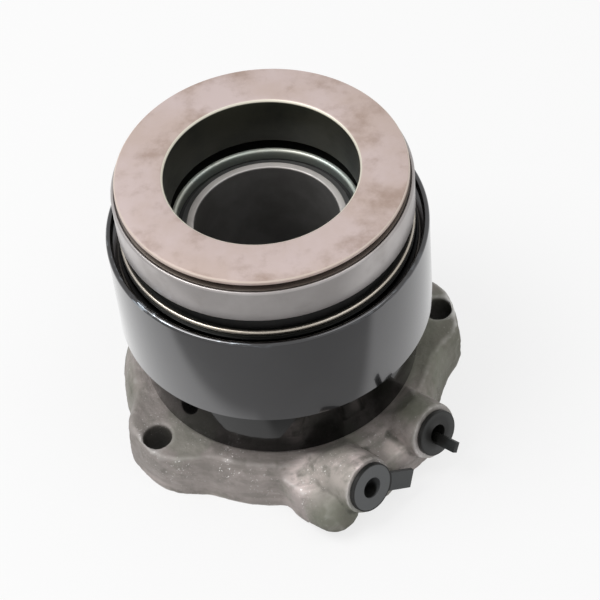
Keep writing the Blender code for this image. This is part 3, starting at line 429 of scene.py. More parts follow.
def makeCastFinish():
    look = castFinish
    material, tree, shader, place = startFinish("castSkin")

    def share(mask, part):
        return addMath(tree, "MULTIPLY", mask, part)

    pale = addClouds(tree, place, look["paleClouds"])
    dark = addClouds(tree, place, look["darkClouds"])
    colour = addMix(tree, pale, look["base"], look["pale"])
    # painted sheen on a few spots, broken up by the dark clouds
    patchy = addMath(tree, "SUBTRACT", 1.0, share(dark, look["paintedSheenLoss"]))
    paintedSheen = share(addSpots(tree, place, look["paintedSheenSpots"]), patchy)
    colour = addMix(tree, paintedSheen, colour, look["paintedSheen"])
    colour = addMix(tree, share(dark, look["darkShare"]), colour, look["dark"])
    drawn = placeGroup(tree, turnedGroup, {"Vector": place}).outputs["Round"]
    flow = addClouds(tree, drawn, look["flowClouds"])
    colour = addMix(tree, share(flow, look["flowShare"]), colour, look["dark"])
    # painted shade on a few spots
    shade = addSpots(tree, place, look["paintedShadeSpots"])
    colour = addMix(tree, share(shade, look["paintedShadeShare"]), colour, look["shade"])
    greenish = addClouds(tree, place, look["greenClouds"])
    colour = addMix(tree, share(greenish, look["greenShare"]), colour, look["greenish"])
    shadeAndWear = tree.nodes.new("ShaderNodeVertexColor")
    shadeAndWear.layer_name = "shadeAndWear"
    hollow = addRange(tree, shadeAndWear.outputs["Color"], *look["hollowTones"])
    ridge = addRange(tree, shadeAndWear.outputs["Color"], *look["ridgeTones"])
    # painted shade: the creases are darkened
    colour = addMix(tree, share(hollow, look["hollowShare"]), colour, look["hollow"])
    colour = addHoleShade(tree, place, colour)
    flecks = placeGroup(tree, speckGroup, {"Vector": place, **look["flecks"]})
    # painted glints add bright flecks on a few spots
    paintedGlint = addSpots(tree, place, look["paintedGlintSpots"])
    # the flecks gather on worn ridges and on the painted sheen
    worn = share(addMath(tree, "ADD", paintedSheen, ridge), look["fleckWorn"])
    fleckShare = addMath(tree, "ADD", addMath(tree, "ADD", look["fleckShare"], worn), paintedGlint, clamp=True)
    fleck = share(flecks.outputs["Mask"], fleckShare)
    worn = share(ridge, addMath(tree, "ADD", look["ridgeShare"], share(pale, look["ridgePale"])))
    bright = addMath(tree, "MAXIMUM", worn, fleck)
    colour = addMix(tree, bright, colour, look["fleck"])
    tree.links.new(colour, shader.inputs["Base Color"])
    shader.inputs["Metallic"].default_value = look["metallic"]
    rough = addMath(tree, "SUBTRACT", look["roughness"], share(bright, look["brightSmooth"]))
    rough = addMath(tree, "ADD", rough, share(dark, look["darkRough"]))
    tree.links.new(rough, shader.inputs["Roughness"])
    grain = placeGroup(tree, grainGroup, {"Vector": place, **look["grain"]})
    addBump(tree, shader, grain.outputs["Height"], look["grainStrength"], look["grainDepth"])
    return material


steelShared = {
    "blush": {"Scale": 38.0, "Low": 0.38, "High": 0.66}, "stainHigh": 0.72,
    "paintedSparks": {"Scale": 1300.0, "Patch Scale": 120.0, "Amount": 0.6}, "paintedSparkShare": 0.9,
    "lineRough": 0.12, "stainRough": 0.08, "lineDepth": 0.00012,
    # how softly a zone of painted shade or painted highlight begins or ends, in mm of radius
    "boreSoft": 0.2, "outerSoft": 0.5, "innerSoft": 0.4, "highlightBegin": 0.12, "highlightEnd": 0.2,
}


def makeSteelFinish(name, look):
    # one recipe for the steel pieces: turned lines, soft stains and flecks, each in its own measure
    material, tree, shader, place = startFinish(name)
    lines = placeGroup(tree, turnedGroup, {"Vector": place, "Scale": look.get("lines", 2600.0)})
    radius = lines.outputs["Radius"]
    stains = addClouds(tree, place, {
        "Scale": look.get("stainScale", 90.0), "Low": look.get("stainLow", 0.5), "High": steelShared["stainHigh"],
    })
    blush = addClouds(tree, place, steelShared["blush"])
    colour = addMix(tree, blush, look["base"], look["tint"])
    stained = addMath(tree, "MULTIPLY", stains, look.get("stainShare", 0.4))
    colour = addMix(tree, stained, colour, look["stain"])
    # painted shade darkens the bore, with a painted sheen in soft clouds
    if "bore" in look:
        limit, paintedShadeColour = look["bore"]
        inside = addRange(tree, radius, mm(limit), mm(limit + steelShared["boreSoft"]), 1.0, 0.0)
        boreShadeAndSheen = addMix(tree, blush, paintedShadeColour, look["boreSheen"])
        colour = addMix(tree, inside, colour, boreShadeAndSheen)
    # painted glints: bright specks
    if "paintedSparkle" in look:
        paintedSparks = placeGroup(tree, speckGroup, {"Vector": place, **steelShared["paintedSparks"]})
        paintedSparks = addMath(tree, "MULTIPLY", paintedSparks.outputs["Mask"], steelShared["paintedSparkShare"])
        colour = addMix(tree, paintedSparks, colour, look["paintedSparkle"])
    # painted shade beyond a radius
    if "outer" in look:
        limit, paintedShadeColour = look["outer"]
        outerPaintedShade = addRange(tree, radius, mm(limit), mm(limit + steelShared["outerSoft"]), 0.0, 1.0)
        colour = addMix(tree, outerPaintedShade, colour, paintedShadeColour)
    # painted shade within a radius
    if "inner" in look:
        limit, paintedShadeColour = look["inner"]
        innerPaintedShade = addRange(tree, radius, mm(limit - steelShared["innerSoft"]), mm(limit), 1.0, 0.0)
        colour = addMix(tree, innerPaintedShade, colour, paintedShadeColour)
    for low, high, highlightColour in look.get("edges", []):
        # a painted highlight on an edge, between two radii
        begun = addRange(tree, radius, mm(low - steelShared["highlightBegin"]), mm(low))
        ended = addRange(tree, radius, mm(high), mm(high + steelShared["highlightEnd"]), 1.0, 0.0)
        colour = addMix(tree, addMath(tree, "MULTIPLY", begun, ended), colour, highlightColour)
    tree.links.new(colour, shader.inputs["Base Color"])
    shader.inputs["Metallic"].default_value = look["metallic"]
    rough = addMath(tree, "MULTIPLY", lines.outputs["Height"], steelShared["lineRough"])
    rough = addMath(tree, "ADD", rough, look["roughness"] - steelShared["lineRough"] / 2)
    rough = addMath(tree, "ADD", rough, addMath(tree, "MULTIPLY", stains, steelShared["stainRough"]))
    tree.links.new(rough, shader.inputs["Roughness"])
    addBump(tree, shader, lines.outputs["Height"], look.get("bump", 0.12), steelShared["lineDepth"])
    return material


steelLooks = {
    "thrustSteel": {
        "base": (0.56, 0.445, 0.40), "tint": (0.62, 0.51, 0.49), "stain": (0.33, 0.23, 0.18),
        "metallic": 0.3, "roughness": 0.44, "lines": 1500.0, "stainShare": 0.7, "stainScale": 85.0,
        # the bore is darkened as painted shade, with a painted sheen
        "stainLow": 0.46, "bore": (27.95, (0.016, 0.017, 0.013)), "boreSheen": (0.040, 0.040, 0.028), "bump": 0.08,
        # painted highlights on the bore's chamfer and on the outer rim
        "edges": [(28.05, 28.4, (0.82, 0.78, 0.66)), (41.65, 41.85, (0.72, 0.61, 0.53))],
    },
    "bearingSteel": {
        "base": (0.50, 0.47, 0.46), "tint": (0.58, 0.55, 0.54), "stain": (0.36, 0.33, 0.31),
        "metallic": 0.85, "roughness": 0.34, "lines": 2200.0, "stainShare": 0.3,
    },
    # the shield's dark grey-brown is painted shade under the thrust ring's rim, tinted as a reflection of the ring
    "shieldSteelPaintedShade": {
        "base": (0.16, 0.135, 0.115), "tint": (0.20, 0.175, 0.155), "stain": (0.09, 0.075, 0.06),
        "metallic": 0.7, "roughness": 0.38,
    },
    "tubeSteel": {
        "base": (0.72, 0.68, 0.65), "tint": (0.78, 0.75, 0.72), "stain": (0.40, 0.37, 0.35),
        # the bore is darkened as painted shade, with a painted sheen
        "metallic": 0.3, "roughness": 0.30, "bore": (21.4, (0.13, 0.125, 0.12)), "boreSheen": (0.19, 0.185, 0.18),
        "stainShare": 0.3,
    },
    "zincSteel": {
        "base": (0.80, 0.82, 0.72), "tint": (0.70, 0.80, 0.76), "stain": (0.34, 0.42, 0.36),
        "metallic": 0.45, "roughness": 0.34, "stainShare": 0.5, "stainScale": 220.0, "bump": 0.3,
        # painted shade on the plate beyond the lip and on the lip's inner side, and painted glints on the lip
        "outer": (28.4, (0.02, 0.021, 0.018)), "inner": (26.85, (0.10, 0.12, 0.11)), "paintedSparkle": (1.0, 1.0, 0.96),
    },
    # the wire's bright steel carries a tan tint painted as a reflection of the thrust ring
    "brightWire": {
        "base": (0.62, 0.56, 0.48), "tint": (0.68, 0.63, 0.56), "stain": (0.36, 0.31, 0.25),
        "metallic": 0.95, "roughness": 0.27, "stainShare": 0.35,
    },
    "springSteel": {
        "base": (0.20, 0.20, 0.205), "tint": (0.25, 0.25, 0.25), "stain": (0.12, 0.11, 0.10),
        "metallic": 0.9, "roughness": 0.36, "lines": 900.0,
    },
    "ballSteel": {
        "base": (0.66, 0.66, 0.67), "tint": (0.70, 0.70, 0.71), "stain": (0.55, 0.55, 0.55),
        "metallic": 1.0, "roughness": 0.14, "stainShare": 0.1, "bump": 0.02,
    },
}


blackShared = {
    "haze": {"Scale": 45.0, "Low": 0.42, "High": 0.7},
    "chips": {"Scale": 1500.0, "Patch Scale": 260.0, "Amount": 0.95},
    "chipsAway": 0.12, "chipsNear": 0.85, "chipRough": 0.2, "coatRoughness": 0.04,
    "lumps": {"Lump Scale": 60.0, "Lump Share": 0.6}, "grainDepth": 0.0003,
}


def addRimChipsAndHighlight(tree, place, look):
    # chips along the rim, most of them near one spot, where they also stand for a painted highlight
    turned = placeGroup(tree, turnedGroup, {"Vector": place})
    low, high = look["rim"]
    nearRim = addRange(tree, turned.outputs["Up"], mm(low), mm(high))
    chips = placeGroup(tree, speckGroup, {"Vector": turned.outputs["Round"], **blackShared["chips"]})
    near = addNear(tree, place, *look["chipAndHighlightSpot"])
    share = addRange(tree, near, 0.0, 1.0, blackShared["chipsAway"], blackShared["chipsNear"], smooth=False)
    return addMath(tree, "MULTIPLY", addMath(tree, "MULTIPLY", nearRim, chips.outputs["Mask"]), share)


def makeBlackFinish(name, look):
    # glossy or matt black: faint haze, a soft grain and, where asked, patches that are mostly painted shade and a
    # chipped rim that also stands for a painted highlight
    material, tree, shader, place = startFinish(name)
    haze = addClouds(tree, place, blackShared["haze"])
    colour = addMix(tree, haze, look["base"], look["haze"])
    # patches, most of them painted shade
    for spot, shade in look.get("patches", []):
        colour = addMix(tree, addNear(tree, place, *spot), colour, shade)
    rough = addMath(tree, "ADD", addMath(tree, "MULTIPLY", haze, look["hazeRough"]), look["roughness"])
    if "rim" in look:
        # chips on the rim that also stand for a painted highlight
        worn = addRimChipsAndHighlight(tree, place, look)
        colour = addMix(tree, worn, colour, look["worn"])
        rough = addMath(tree, "ADD", rough, addMath(tree, "MULTIPLY", worn, blackShared["chipRough"]))
    tree.links.new(colour, shader.inputs["Base Color"])
    tree.links.new(rough, shader.inputs["Roughness"])
    shader.inputs["IOR"].default_value = look.get("ior", 1.5)
    shader.inputs["Metallic"].default_value = look.get("metallic", 0.0)
    shader.inputs["Coat Weight"].default_value = look.get("coat", 0.0)
    shader.inputs["Coat Roughness"].default_value = blackShared["coatRoughness"]
    grain = placeGroup(tree, grainGroup, {"Vector": place, "Scale": look["grain"], **blackShared["lumps"]})
    addBump(tree, shader, grain.outputs["Height"], look["bump"], blackShared["grainDepth"])
    return material


blackLooks = {
    "sleeveGloss": {
        "base": (0.084, 0.083, 0.086), "haze": (0.092, 0.091, 0.094), "roughness": 0.13, "hazeRough": 0.05,
        # the bluish chips on the rim also stand for a painted highlight at the front left
        "metallic": 1.0, "coat": 1.0, "grain": 260.0, "bump": 0.015, "rim": (71.6, 72.5), "worn": (0.62, 0.70, 0.78),
        "chipAndHighlightSpot": ((-0.038, -0.026, 0.072), 0.018, 0.036),
    },
    "neckGloss": {
        "base": (0.001, 0.001, 0.001), "haze": (0.002, 0.002, 0.002), "roughness": 0.06, "hazeRough": 0.04,
        "ior": 1.46, "grain": 260.0, "bump": 0.015,
    },
    "plugMoulded": {
        "base": (0.052, 0.055, 0.056), "haze": (0.066, 0.069, 0.070), "roughness": 0.42, "hazeRough": 0.12,
        "grain": 1600.0, "bump": 0.12,
        # painted shade: a dark ring of painted shadow round each plug's flange, a face darkened on the bleed plug,
        # the blade and the two sockets; the inlet plug gets a paler face
        "patches": [
            (((0.0228, -0.0588, 0.0160), 0.0078, 0.0081), (0.012, 0.012, 0.011)),
            (((0.0228, -0.0588, 0.0160), 0.0071, 0.0073), (0.110, 0.114, 0.116)),
            (((0.0444, -0.0417, 0.0160), 0.0075, 0.0078), (0.012, 0.012, 0.011)),
            (((0.0444, -0.0417, 0.0160), 0.0067, 0.0069), (0.026, 0.027, 0.026)),
            (((0.0480, -0.0460, 0.0165), 0.0035, 0.0050), (0.016, 0.018, 0.018)),
            (((0.0435, -0.0408, 0.0165), 0.0044, 0.0062), (0.008, 0.008, 0.007)),
            (((0.0210, -0.0572, 0.0140), 0.0029, 0.0036), (0.008, 0.008, 0.007)),
        ],
    },
    "pistonMoulded": {
        "base": (0.035, 0.035, 0.035), "haze": (0.05, 0.05, 0.05), "roughness": 0.4, "hazeRough": 0.1,
        "grain": 1400.0, "bump": 0.1,
    },
    "sealRubber": {
        "base": (0.014, 0.014, 0.014), "haze": (0.022, 0.022, 0.021), "roughness": 0.6, "hazeRough": 0.12,
        "grain": 1800.0, "bump": 0.15,
    },
    "cageMoulded": {
        "base": (0.22, 0.13, 0.045), "haze": (0.28, 0.18, 0.07), "roughness": 0.45, "hazeRough": 0.1,
        "grain": 1500.0, "bump": 0.1,
    },
}

finishes = {"castSkin": makeCastFinish()}
for label, look in steelLooks.items():
    finishes[label] = makeSteelFinish(label, look)
for label, look in blackLooks.items():
    finishes[label] = makeBlackFinish(label, look)
print("finishes made:", len(finishes))


def dress(piece, finish, body, slot, *nodes):
    piece.data.materials.clear()
    piece.data.materials.append(finishes[finish])
    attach(piece, body)
    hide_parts(*nodes)
    print("made", piece.name)


# the casting: a remeshed copy of the solid, so that its edges and creases run together as cast ones do

castShape = {
    "voxel": 0.00068, "smooth": 5, "smoothFactor": 0.5, "roundAngle": 42.0,
    "pit": (0.0017, 0.00030), "lump": (0.009, 0.0008), "noiseDepth": 2,
    # the stock that the machined faces get, in mm, and what belongs to them, in metres
    "foot": 3.0, "footBand": 0.0003, "faceStock": 0.6, "faceBand": (-0.00003, 0.00012), "faceRadius": 0.0095,
    "cutBand": (-0.002, 0.002), "cutRadius": 0.0105, "cutExact": 0.000001,
    # dents are weaker where the neck stands and in the bolt holes
    "calmRadius": 0.0440, "calmShare": 0.25, "holeShare": 0.2,
    "creaseBlur": 3, "creaseOpen": 110.0, "creaseShut": 70.0,
}
ports = {
    "azimuth": math.radians(-49.0), "tilt": math.radians(17.0), "height": 0.0155,
    "inlet": (0.0577, -0.0214), "bleed": (0.0590, 0.0061),
}


def portPlace(reach, offset):
    # where a port's face stands: the local Z is the port's axis
    outward = Vector((math.cos(ports["azimuth"]), math.sin(ports["azimuth"]), 0.0))
    level = Vector((-outward.y, outward.x, 0.0))
    axis = outward * math.cos(ports["tilt"]) + Vector((0, 0, math.sin(ports["tilt"])))
    up = axis.cross(level)
    spot = outward * reach + level * offset + Vector((0, 0, ports["height"]))
    return Matrix.Translation(spot) @ Matrix((level, up, axis)).transposed().to_4x4()


def moveWhere(piece, test, shift):
    # picks vertices by their place and shifts them together
    takeUp(piece)
    bpy.ops.object.mode_set(mode="EDIT")
    mesh = bmesh.from_edit_mesh(piece.data)
    for vertex in mesh.verts:
        vertex.select_set(test(vertex.co))
    mesh.select_flush_mode()
    bmesh.update_edit_mesh(piece.data)
    bpy.ops.transform.translate(value=tuple(shift))
    bpy.ops.object.mode_set(mode="OBJECT")


def cutFlat(piece, test, spot, normal):
    # a machined face: the picked faces are cut along a plane and closed
    takeUp(piece)
    bpy.ops.object.mode_set(mode="EDIT")
    bpy.ops.mesh.select_all(action="DESELECT")
    mesh = bmesh.from_edit_mesh(piece.data)
    for face in mesh.faces:
        face.select_set(test(face.calc_center_median()))
    bmesh.update_edit_mesh(piece.data)
    bpy.ops.mesh.bisect(
        plane_co=tuple(spot), plane_no=tuple(normal), use_fill=True, clear_outer=True,
        threshold=castShape["cutExact"],
    )
    bpy.ops.object.mode_set(mode="OBJECT")


def nearPort(place, band, radius):
    back = place.inverted()

    def test(spot):
        local = back @ spot
        return band[0] < local.z < band[1] and math.hypot(local.x, local.y) < radius
    return test


def copyNode(node, name):
    # a merged copy of a solid, to work on while the solid's own mesh is left alone
    piece = bpy.data.objects.new(name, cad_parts[node].data.copy())
    scene.collection.objects.link(piece)
    takeUp(piece)
    bpy.ops.object.mode_set(mode="EDIT")
    bpy.ops.mesh.select_all(action="SELECT")
    bpy.ops.mesh.remove_doubles(threshold=0.00001)
    bpy.ops.mesh.normals_make_consistent(inside=False)
    bpy.ops.object.mode_set(mode="OBJECT")
    return piece


def dentShare(spot, holes):
    # how much of the dents a point of the casting takes
    share = 1.0 if math.hypot(spot.x, spot.y) > castShape["calmRadius"] else castShape["calmShare"]
    for hole in holes:
        if math.hypot(spot.x - hole[0], spot.y - hole[1]) < mm(boltHoles["calm"]):
            share = castShape["holeShare"]
    return share


def dentCasting(piece):
    outside = piece.vertex_groups.new(name="outside")
    holes = boltPlaces()
    for vertex in piece.data.vertices:
        outside.add([vertex.index], dentShare(vertex.co, holes), "REPLACE")
    step = piece.modifiers.new("blend", "SMOOTH")
    step.factor = castShape["smoothFactor"]
    step.iterations = castShape["smooth"]
    applyAll(piece)
    for label in ("lump", "pit"):
        size, strength = castShape[label]
        texture = bpy.data.textures.new(label, "CLOUDS")
        texture.noise_scale = size
        texture.noise_depth = castShape["noiseDepth"]
        step = piece.modifiers.new(label, "DISPLACE")
        step.texture = texture
        step.texture_coords = "LOCAL"
        step.strength = strength
        step.mid_level = 0.5
        step.vertex_group = "outside"
    applyAll(piece)


def makeCasting():
    piece = copyNode("cast_body", "casting")
    # the machined faces get stock on, which is cut off again at the end
    moveWhere(piece, lambda spot: spot.z < castShape["footBand"], (0, 0, -mm(castShape["foot"])))
    places = [portPlace(*ports[label]) for label in ("inlet", "bleed")]
    for place in places:
        onFace = nearPort(place, castShape["faceBand"], castShape["faceRadius"])
        moveWhere(piece, onFace, place.to_3x3().col[2] * mm(castShape["faceStock"]))
    step = piece.modifiers.new("skin", "REMESH")
    step.mode = "VOXEL"
    step.voxel_size = castShape["voxel"]
    applyAll(piece)
    dentCasting(piece)
    cutFlat(piece, lambda spot: True, (0, 0, 0), (0, 0, -1))
    for place in places:
        onBoss = nearPort(place, castShape["cutBand"], castShape["cutRadius"])
        cutFlat(piece, onBoss, place.translation, place.to_3x3().col[2])
    takeUp(piece)
    bpy.ops.object.mode_set(mode="EDIT")
    bpy.ops.mesh.select_all(action="SELECT")
    bpy.ops.mesh.normals_make_consistent(inside=False)
    bpy.ops.object.mode_set(mode="OBJECT")
    print("casting faces:", len(piece.data.polygons))
    # a layer from how open or shut the surface is: painted shade for the creases and wear for the ridges
    bpy.ops.geometry.color_attribute_add(
        name="shadeAndWear", domain="CORNER", data_type="FLOAT_COLOR", color=(1, 1, 1, 1),
    )
    bpy.ops.paint.vertex_color_dirt(
        blur_strength=1.0, blur_iterations=castShape["creaseBlur"], clean_angle=math.radians(castShape["creaseOpen"]),
        dirt_angle=math.radians(castShape["creaseShut"]), normalize=False,
    )
    smoothShade(piece, castShape["roundAngle"])
    dress(piece, "castSkin", "housing", "casting", "cast_body")


makeCasting()

# the turned pieces, with their sizes in mm: bores and radii across, the rest up the axis

def finishTurned(piece, finish, body, slot, node, edge=roundness["edge"], edgeSteps=2):
    softenEdges(piece, edge, edgeSteps)
    smoothShade(piece)
    dress(piece, finish, body, slot, node)


tubeSize = {
    "bore": 21.3, "radius": 23.6, "foot": 27.0, "footLow": 0.4, "footHigh": 2.3,
    "groove": 23.0, "grooveLow": 70.2, "grooveHigh": 72.0, "top": 72.3, "edge": 0.18, "lead": 0.4,
}


def makeGuideTube():
    bore, radius, foot, groove = (tubeSize[label] for label in ("bore", "radius", "foot", "groove"))
    top, edge, lead = (tubeSize[label] for label in ("top", "edge", "lead"))
    outline = [
        (bore, tubeSize["footLow"]), (foot, tubeSize["footLow"]), (foot, tubeSize["footHigh"]),
        (radius, tubeSize["footHigh"]), (radius, tubeSize["grooveLow"]), (groove, tubeSize["grooveLow"]),
        (groove, tubeSize["grooveHigh"]), (radius, tubeSize["grooveHigh"]), (radius, top - edge),
        (radius - edge, top), (bore + lead, top), (bore, top - lead),
    ]
    tube = turnPiece("guideTube", outline)
    finishTurned(tube, "tubeSteel", "housing", "tube_steel", "guide_tube")


neckSize = {
    "bore": 34.3, "radius": 42.4, "inside": 40.8, "insideLow": 41.2, "low": 15.8, "top": 51.7,
    "plate": 1.6, "spread": 0.5, "edge": 0.3, "edgeSteps": 3,
}


def makeNeck():
    # a drawn cup that widens a little towards its foot
    bore, radius, low, top = (neckSize[label] for label in ("bore", "radius", "low", "top"))
    floor = low + neckSize["plate"]
    outline = [
        (bore, low), (radius, low), (radius + neckSize["spread"], low + neckSize["spread"]), (radius, top),
        (neckSize["inside"], top), (neckSize["insideLow"], floor), (bore, floor),
    ]
    neck = turnPiece("springHousing", outline)
    edge = mm(neckSize["edge"])
    finishTurned(neck, "neckGloss", "housing", "gloss_black", "spring_housing", edge, neckSize["edgeSteps"])


sleeveSize = {
    "low": 38.5, "top": 72.9, "radius": 47.8, "rim": 47.3, "rimRound": 0.9, "inside": 45.6, "skirt": 45.9,
    "mouth": 0.3, "webLow": 68.3, "webTop": 70.3, "webBore": 30.3, "lowEdge": (0.45, 0.7), "edge": 0.2,
}


def makeSleeve():
    # the drawn tube narrows a little towards its rim
    low, top, radius, inside = (sleeveSize[label] for label in ("low", "top", "radius", "inside"))
    webLow, webTop, webBore = (sleeveSize[label] for label in ("webLow", "webTop", "webBore"))
    corner = sleeveSize["rimRound"]
    rim = bow(sleeveSize["rim"] - corner, top - corner, corner, start=1, end=90, count=7)
    across, up = sleeveSize["lowEdge"]
    outline = [
        (sleeveSize["skirt"], low), (radius - across, low), (radius, low + up), *rim,
        (inside + sleeveSize["mouth"], top), (inside, top - sleeveSize["mouth"]), (inside, webTop),
        (webBore, webTop), (webBore, webLow), (inside, webLow),
    ]
    sleeve = turnPiece("dustSleeve", outline)
    finishTurned(sleeve, "sleeveGloss", "release_unit", "gloss_black", "dust_sleeve", mm(sleeveSize["edge"]))


carrierSize = {"bore": 26.6, "lip": 1.7, "lipHeight": 73.25, "radius": 43.3, "low": 70.6, "top": 72.0}


def makeCarrier():
    # a pressed dish whose inner edge is rolled over
    bore, radius, low, top = (carrierSize[label] for label in ("bore", "radius", "low", "top"))
    half = carrierSize["lip"] / 2
    roll = bow(bore + half, carrierSize["lipHeight"], half, start=0, end=180, count=9)
    outline = [(bore, low), (radius, low), (radius, top), (bore + carrierSize["lip"], top), *roll]
    carrier = turnPiece("bearingCarrier", outline)
    finishTurned(carrier, "zincSteel", "release_unit", "zinc_steel", "bearing_carrier")


# the ball race that the two rings share: each ring takes its own part of the round
raceSize = {"pitch": 35.9, "height": 84.6, "radius": 3.872, "outer": (34.27, -100.42), "inner": (214.27, 79.58)}


def racePoints(part):
    return bow(raceSize["pitch"], raceSize["height"], raceSize["radius"], *raceSize[part], count=15)


outerSize = {
    "bore": 35.2, "radius": 43.3, "low": 78.4, "top": 90.1, "chamfer": 0.5, "seat": 42.4, "seatHeight": 89.2,
    "shoulder": 39.1,
}


def makeOuterRing():
    radius, low, top, chamfer = (outerSize[label] for label in ("radius", "low", "top", "chamfer"))
    outline = [
        (outerSize["bore"], low), (radius - chamfer, low), (radius, low + chamfer), (radius, top - chamfer),
        (radius - chamfer, top), (outerSize["seat"], top), (outerSize["seat"], outerSize["seatHeight"]),
        (outerSize["shoulder"], outerSize["seatHeight"]), *racePoints("outer"),
    ]
    ring = turnPiece("bearingOuterRing", outline)
    finishTurned(ring, "bearingSteel", "release_unit", "bearing_steel", "bearing_outer_ring")


shieldSize = {"bore": 37.1, "radius": 42.1, "low": 89.5, "top": 90.1}


def makeShield():
    bore, radius, low, top = (shieldSize[label] for label in ("bore", "radius", "low", "top"))
    shield = turnPiece("bearingShield", [(bore, low), (radius, low), (radius, top), (bore, top)])
    finishTurned(shield, "shieldSteelPaintedShade", "release_unit", "shield_steel", "bearing_shield")


thrustSize = {
    "bore": 27.85, "radius": 42.0, "hub": 32.7, "low": 77.3, "top": 93.5, "mouth": 1.2, "edge": 0.5,
    "shoulder": 36.6, "waist": 39.1, "waistHeight": 91.0, "rimLow": 92.2,
}


def makeThrustRing():
    bore, radius, low, top = (thrustSize[label] for label in ("bore", "radius", "low", "top"))
    mouth, edge, waistHeight = (thrustSize[label] for label in ("mouth", "edge", "waistHeight"))
    outline = [
        (bore, low), (thrustSize["hub"], low), *racePoints("inner"), (thrustSize["shoulder"], waistHeight),
        (thrustSize["waist"], waistHeight), (radius, thrustSize["rimLow"]), (radius, top - edge),
        (radius - edge, top), *bow(bore + mouth, top - mouth, mouth, start=90, end=180, count=7),
    ]
    ring = turnPiece("thrustRing", outline)
    finishTurned(ring, "thrustSteel", "turning_ring", "thrust_steel", "thrust_ring")


wireSize = {
    "radius": 42.65, "height": 72.95, "section": 0.65, "gap": 95.0, "open": 7.5, "steps": 170, "sides": 12,
    "firstArc": 30.0, "roundAngle": 50.0,
}


def bendWire():
    # a wire bent round, with its two ends apart
    deselectAll()
    bpy.ops.mesh.primitive_circle_add(
        vertices=wireSize["sides"], radius=mm(wireSize["section"]), fill_type="NGON",
        location=(mm(wireSize["radius"]), 0, mm(wireSize["height"])), rotation=(math.pi / 2, 0, 0),
    )
    ring = bpy.context.object
    ring.name = "retainingRing"
    settle(ring)
    bpy.ops.object.mode_set(mode="EDIT")
    bpy.ops.mesh.select_all(action="SELECT")
    bpy.ops.mesh.spin(
        steps=wireSize["steps"], angle=math.radians(360 - wireSize["open"]), center=(0, 0, 0), axis=(0, 0, 1),
    )
    bpy.ops.mesh.select_all(action="SELECT")
    bpy.ops.mesh.normals_make_consistent(inside=False)
    bpy.ops.object.mode_set(mode="OBJECT")
    return ring


def makeRetainer():
    ring = bendWire()
    # the spin's sense is read from the mesh, so that the gap lands at its angle either way
    angles = [math.degrees(math.atan2(v.co.y, v.co.x)) % 360 for v in ring.data.vertices]
    missing = wireSize["open"] / 2
    upwards = any(missing < a < wireSize["firstArc"] for a in angles)
    gapNow = 360 - missing if upwards else missing
    ring.rotation_euler = (0, 0, math.radians(wireSize["gap"] - gapNow))
    settle(ring)
    smoothShade(ring, wireSize["roundAngle"])
    dress(ring, "brightWire", "release_unit", "bright_wire", "retaining_ring")


makeGuideTube()
makeNeck()
makeSleeve()
makeCarrier()
makeOuterRing()
makeShield()
makeThrustRing()
makeRetainer()

# the two port plugs, in mm, made upright at the origin and then set on their ports

plugSize = {
    "stem": 5.1, "tip": -8.7, "tipShare": 0.9, "lead": -6.9, "under": 0.3, "top": 1.7, "steps": 96,
    "edge": 0.22, "edgeSteps": 3,
}


def plugBlank(name, size):
    stem, under, top = plugSize["stem"], plugSize["under"], plugSize["top"]
    flange, socket = size["flange"], size["socket"]
    outline = [
        (stem * plugSize["tipShare"], plugSize["tip"]), (stem, plugSize["lead"]), (stem, under),
        (flange, under), (flange, top), (socket, top), (socket, top - size["depth"]),
    ]
    return turnPlug(name, outline, plugSize["steps"])


def blockPiece(size, middle):
    deselectAll()
    bpy.ops.mesh.primitive_cube_add(size=1.0, location=tuple(mm(v) for v in middle))
    piece = bpy.context.object
    piece.scale = tuple(mm(v) for v in size)
    settle(piece)
    return piece


def seatPlug(plug, handle, port, node):
    # the handle is joined on, and the plug goes to its port
    settle(handle)
    joinTo(plug, handle)
    softenEdges(plug, mm(plugSize["edge"]), plugSize["edgeSteps"])
    plug.matrix_world = portPlace(*ports[port])
    settle(plug)
    smoothShade(plug)
    dress(plug, "plugMoulded", "housing", "plug_plastic", node)


inletPlug = {
    "flange": 7.6, "socket": 3.3, "depth": 8.0, "reach": 16.8, "width": 5.8, "shift": 1.0, "angle": -34.5,
    "thick": 1.4, "corner": 1.2, "cornerSteps": 4, "tipZone": 0.5,
}


def roundTip(tab):
    # the upright edges at the tab's far end
    takeUp(tab)
    bpy.ops.object.mode_set(mode="EDIT")
    mesh = bmesh.from_edit_mesh(tab.data)
    for edge in mesh.edges:
        one, other = (v.co for v in edge.verts)
        upright = abs(one.z - other.z) > mm(inletPlug["thick"] / 2)
        edge.select_set(upright and min(one.x, other.x) > mm(inletPlug["reach"] - inletPlug["tipZone"]))
    bmesh.update_edit_mesh(tab.data)
    bpy.ops.mesh.bevel(offset=mm(inletPlug["corner"]), segments=inletPlug["cornerSteps"], affect="EDGES")
    bpy.ops.object.mode_set(mode="OBJECT")


def makeInletPlug():
    plug = plugBlank("inletPlug", inletPlug)
    start = (inletPlug["flange"] + inletPlug["socket"]) / 2
    tab = blockPiece(
        (inletPlug["reach"] - start, inletPlug["width"], inletPlug["thick"]),
        ((inletPlug["reach"] + start) / 2, inletPlug["shift"], plugSize["under"] + inletPlug["thick"] / 2),
    )
    roundTip(tab)
    tab.rotation_euler = (0, 0, math.radians(inletPlug["angle"]))
    seatPlug(plug, tab, "inlet", "inlet_port_plug")


bleedPlug = {
    "flange": 7.2, "socket": 2.9, "depth": 5.0, "width": 3.3, "thick": 1.7, "length": 9.0, "drop": 2.5,
    "angle": 49.0, "sunk": 0.7,
}


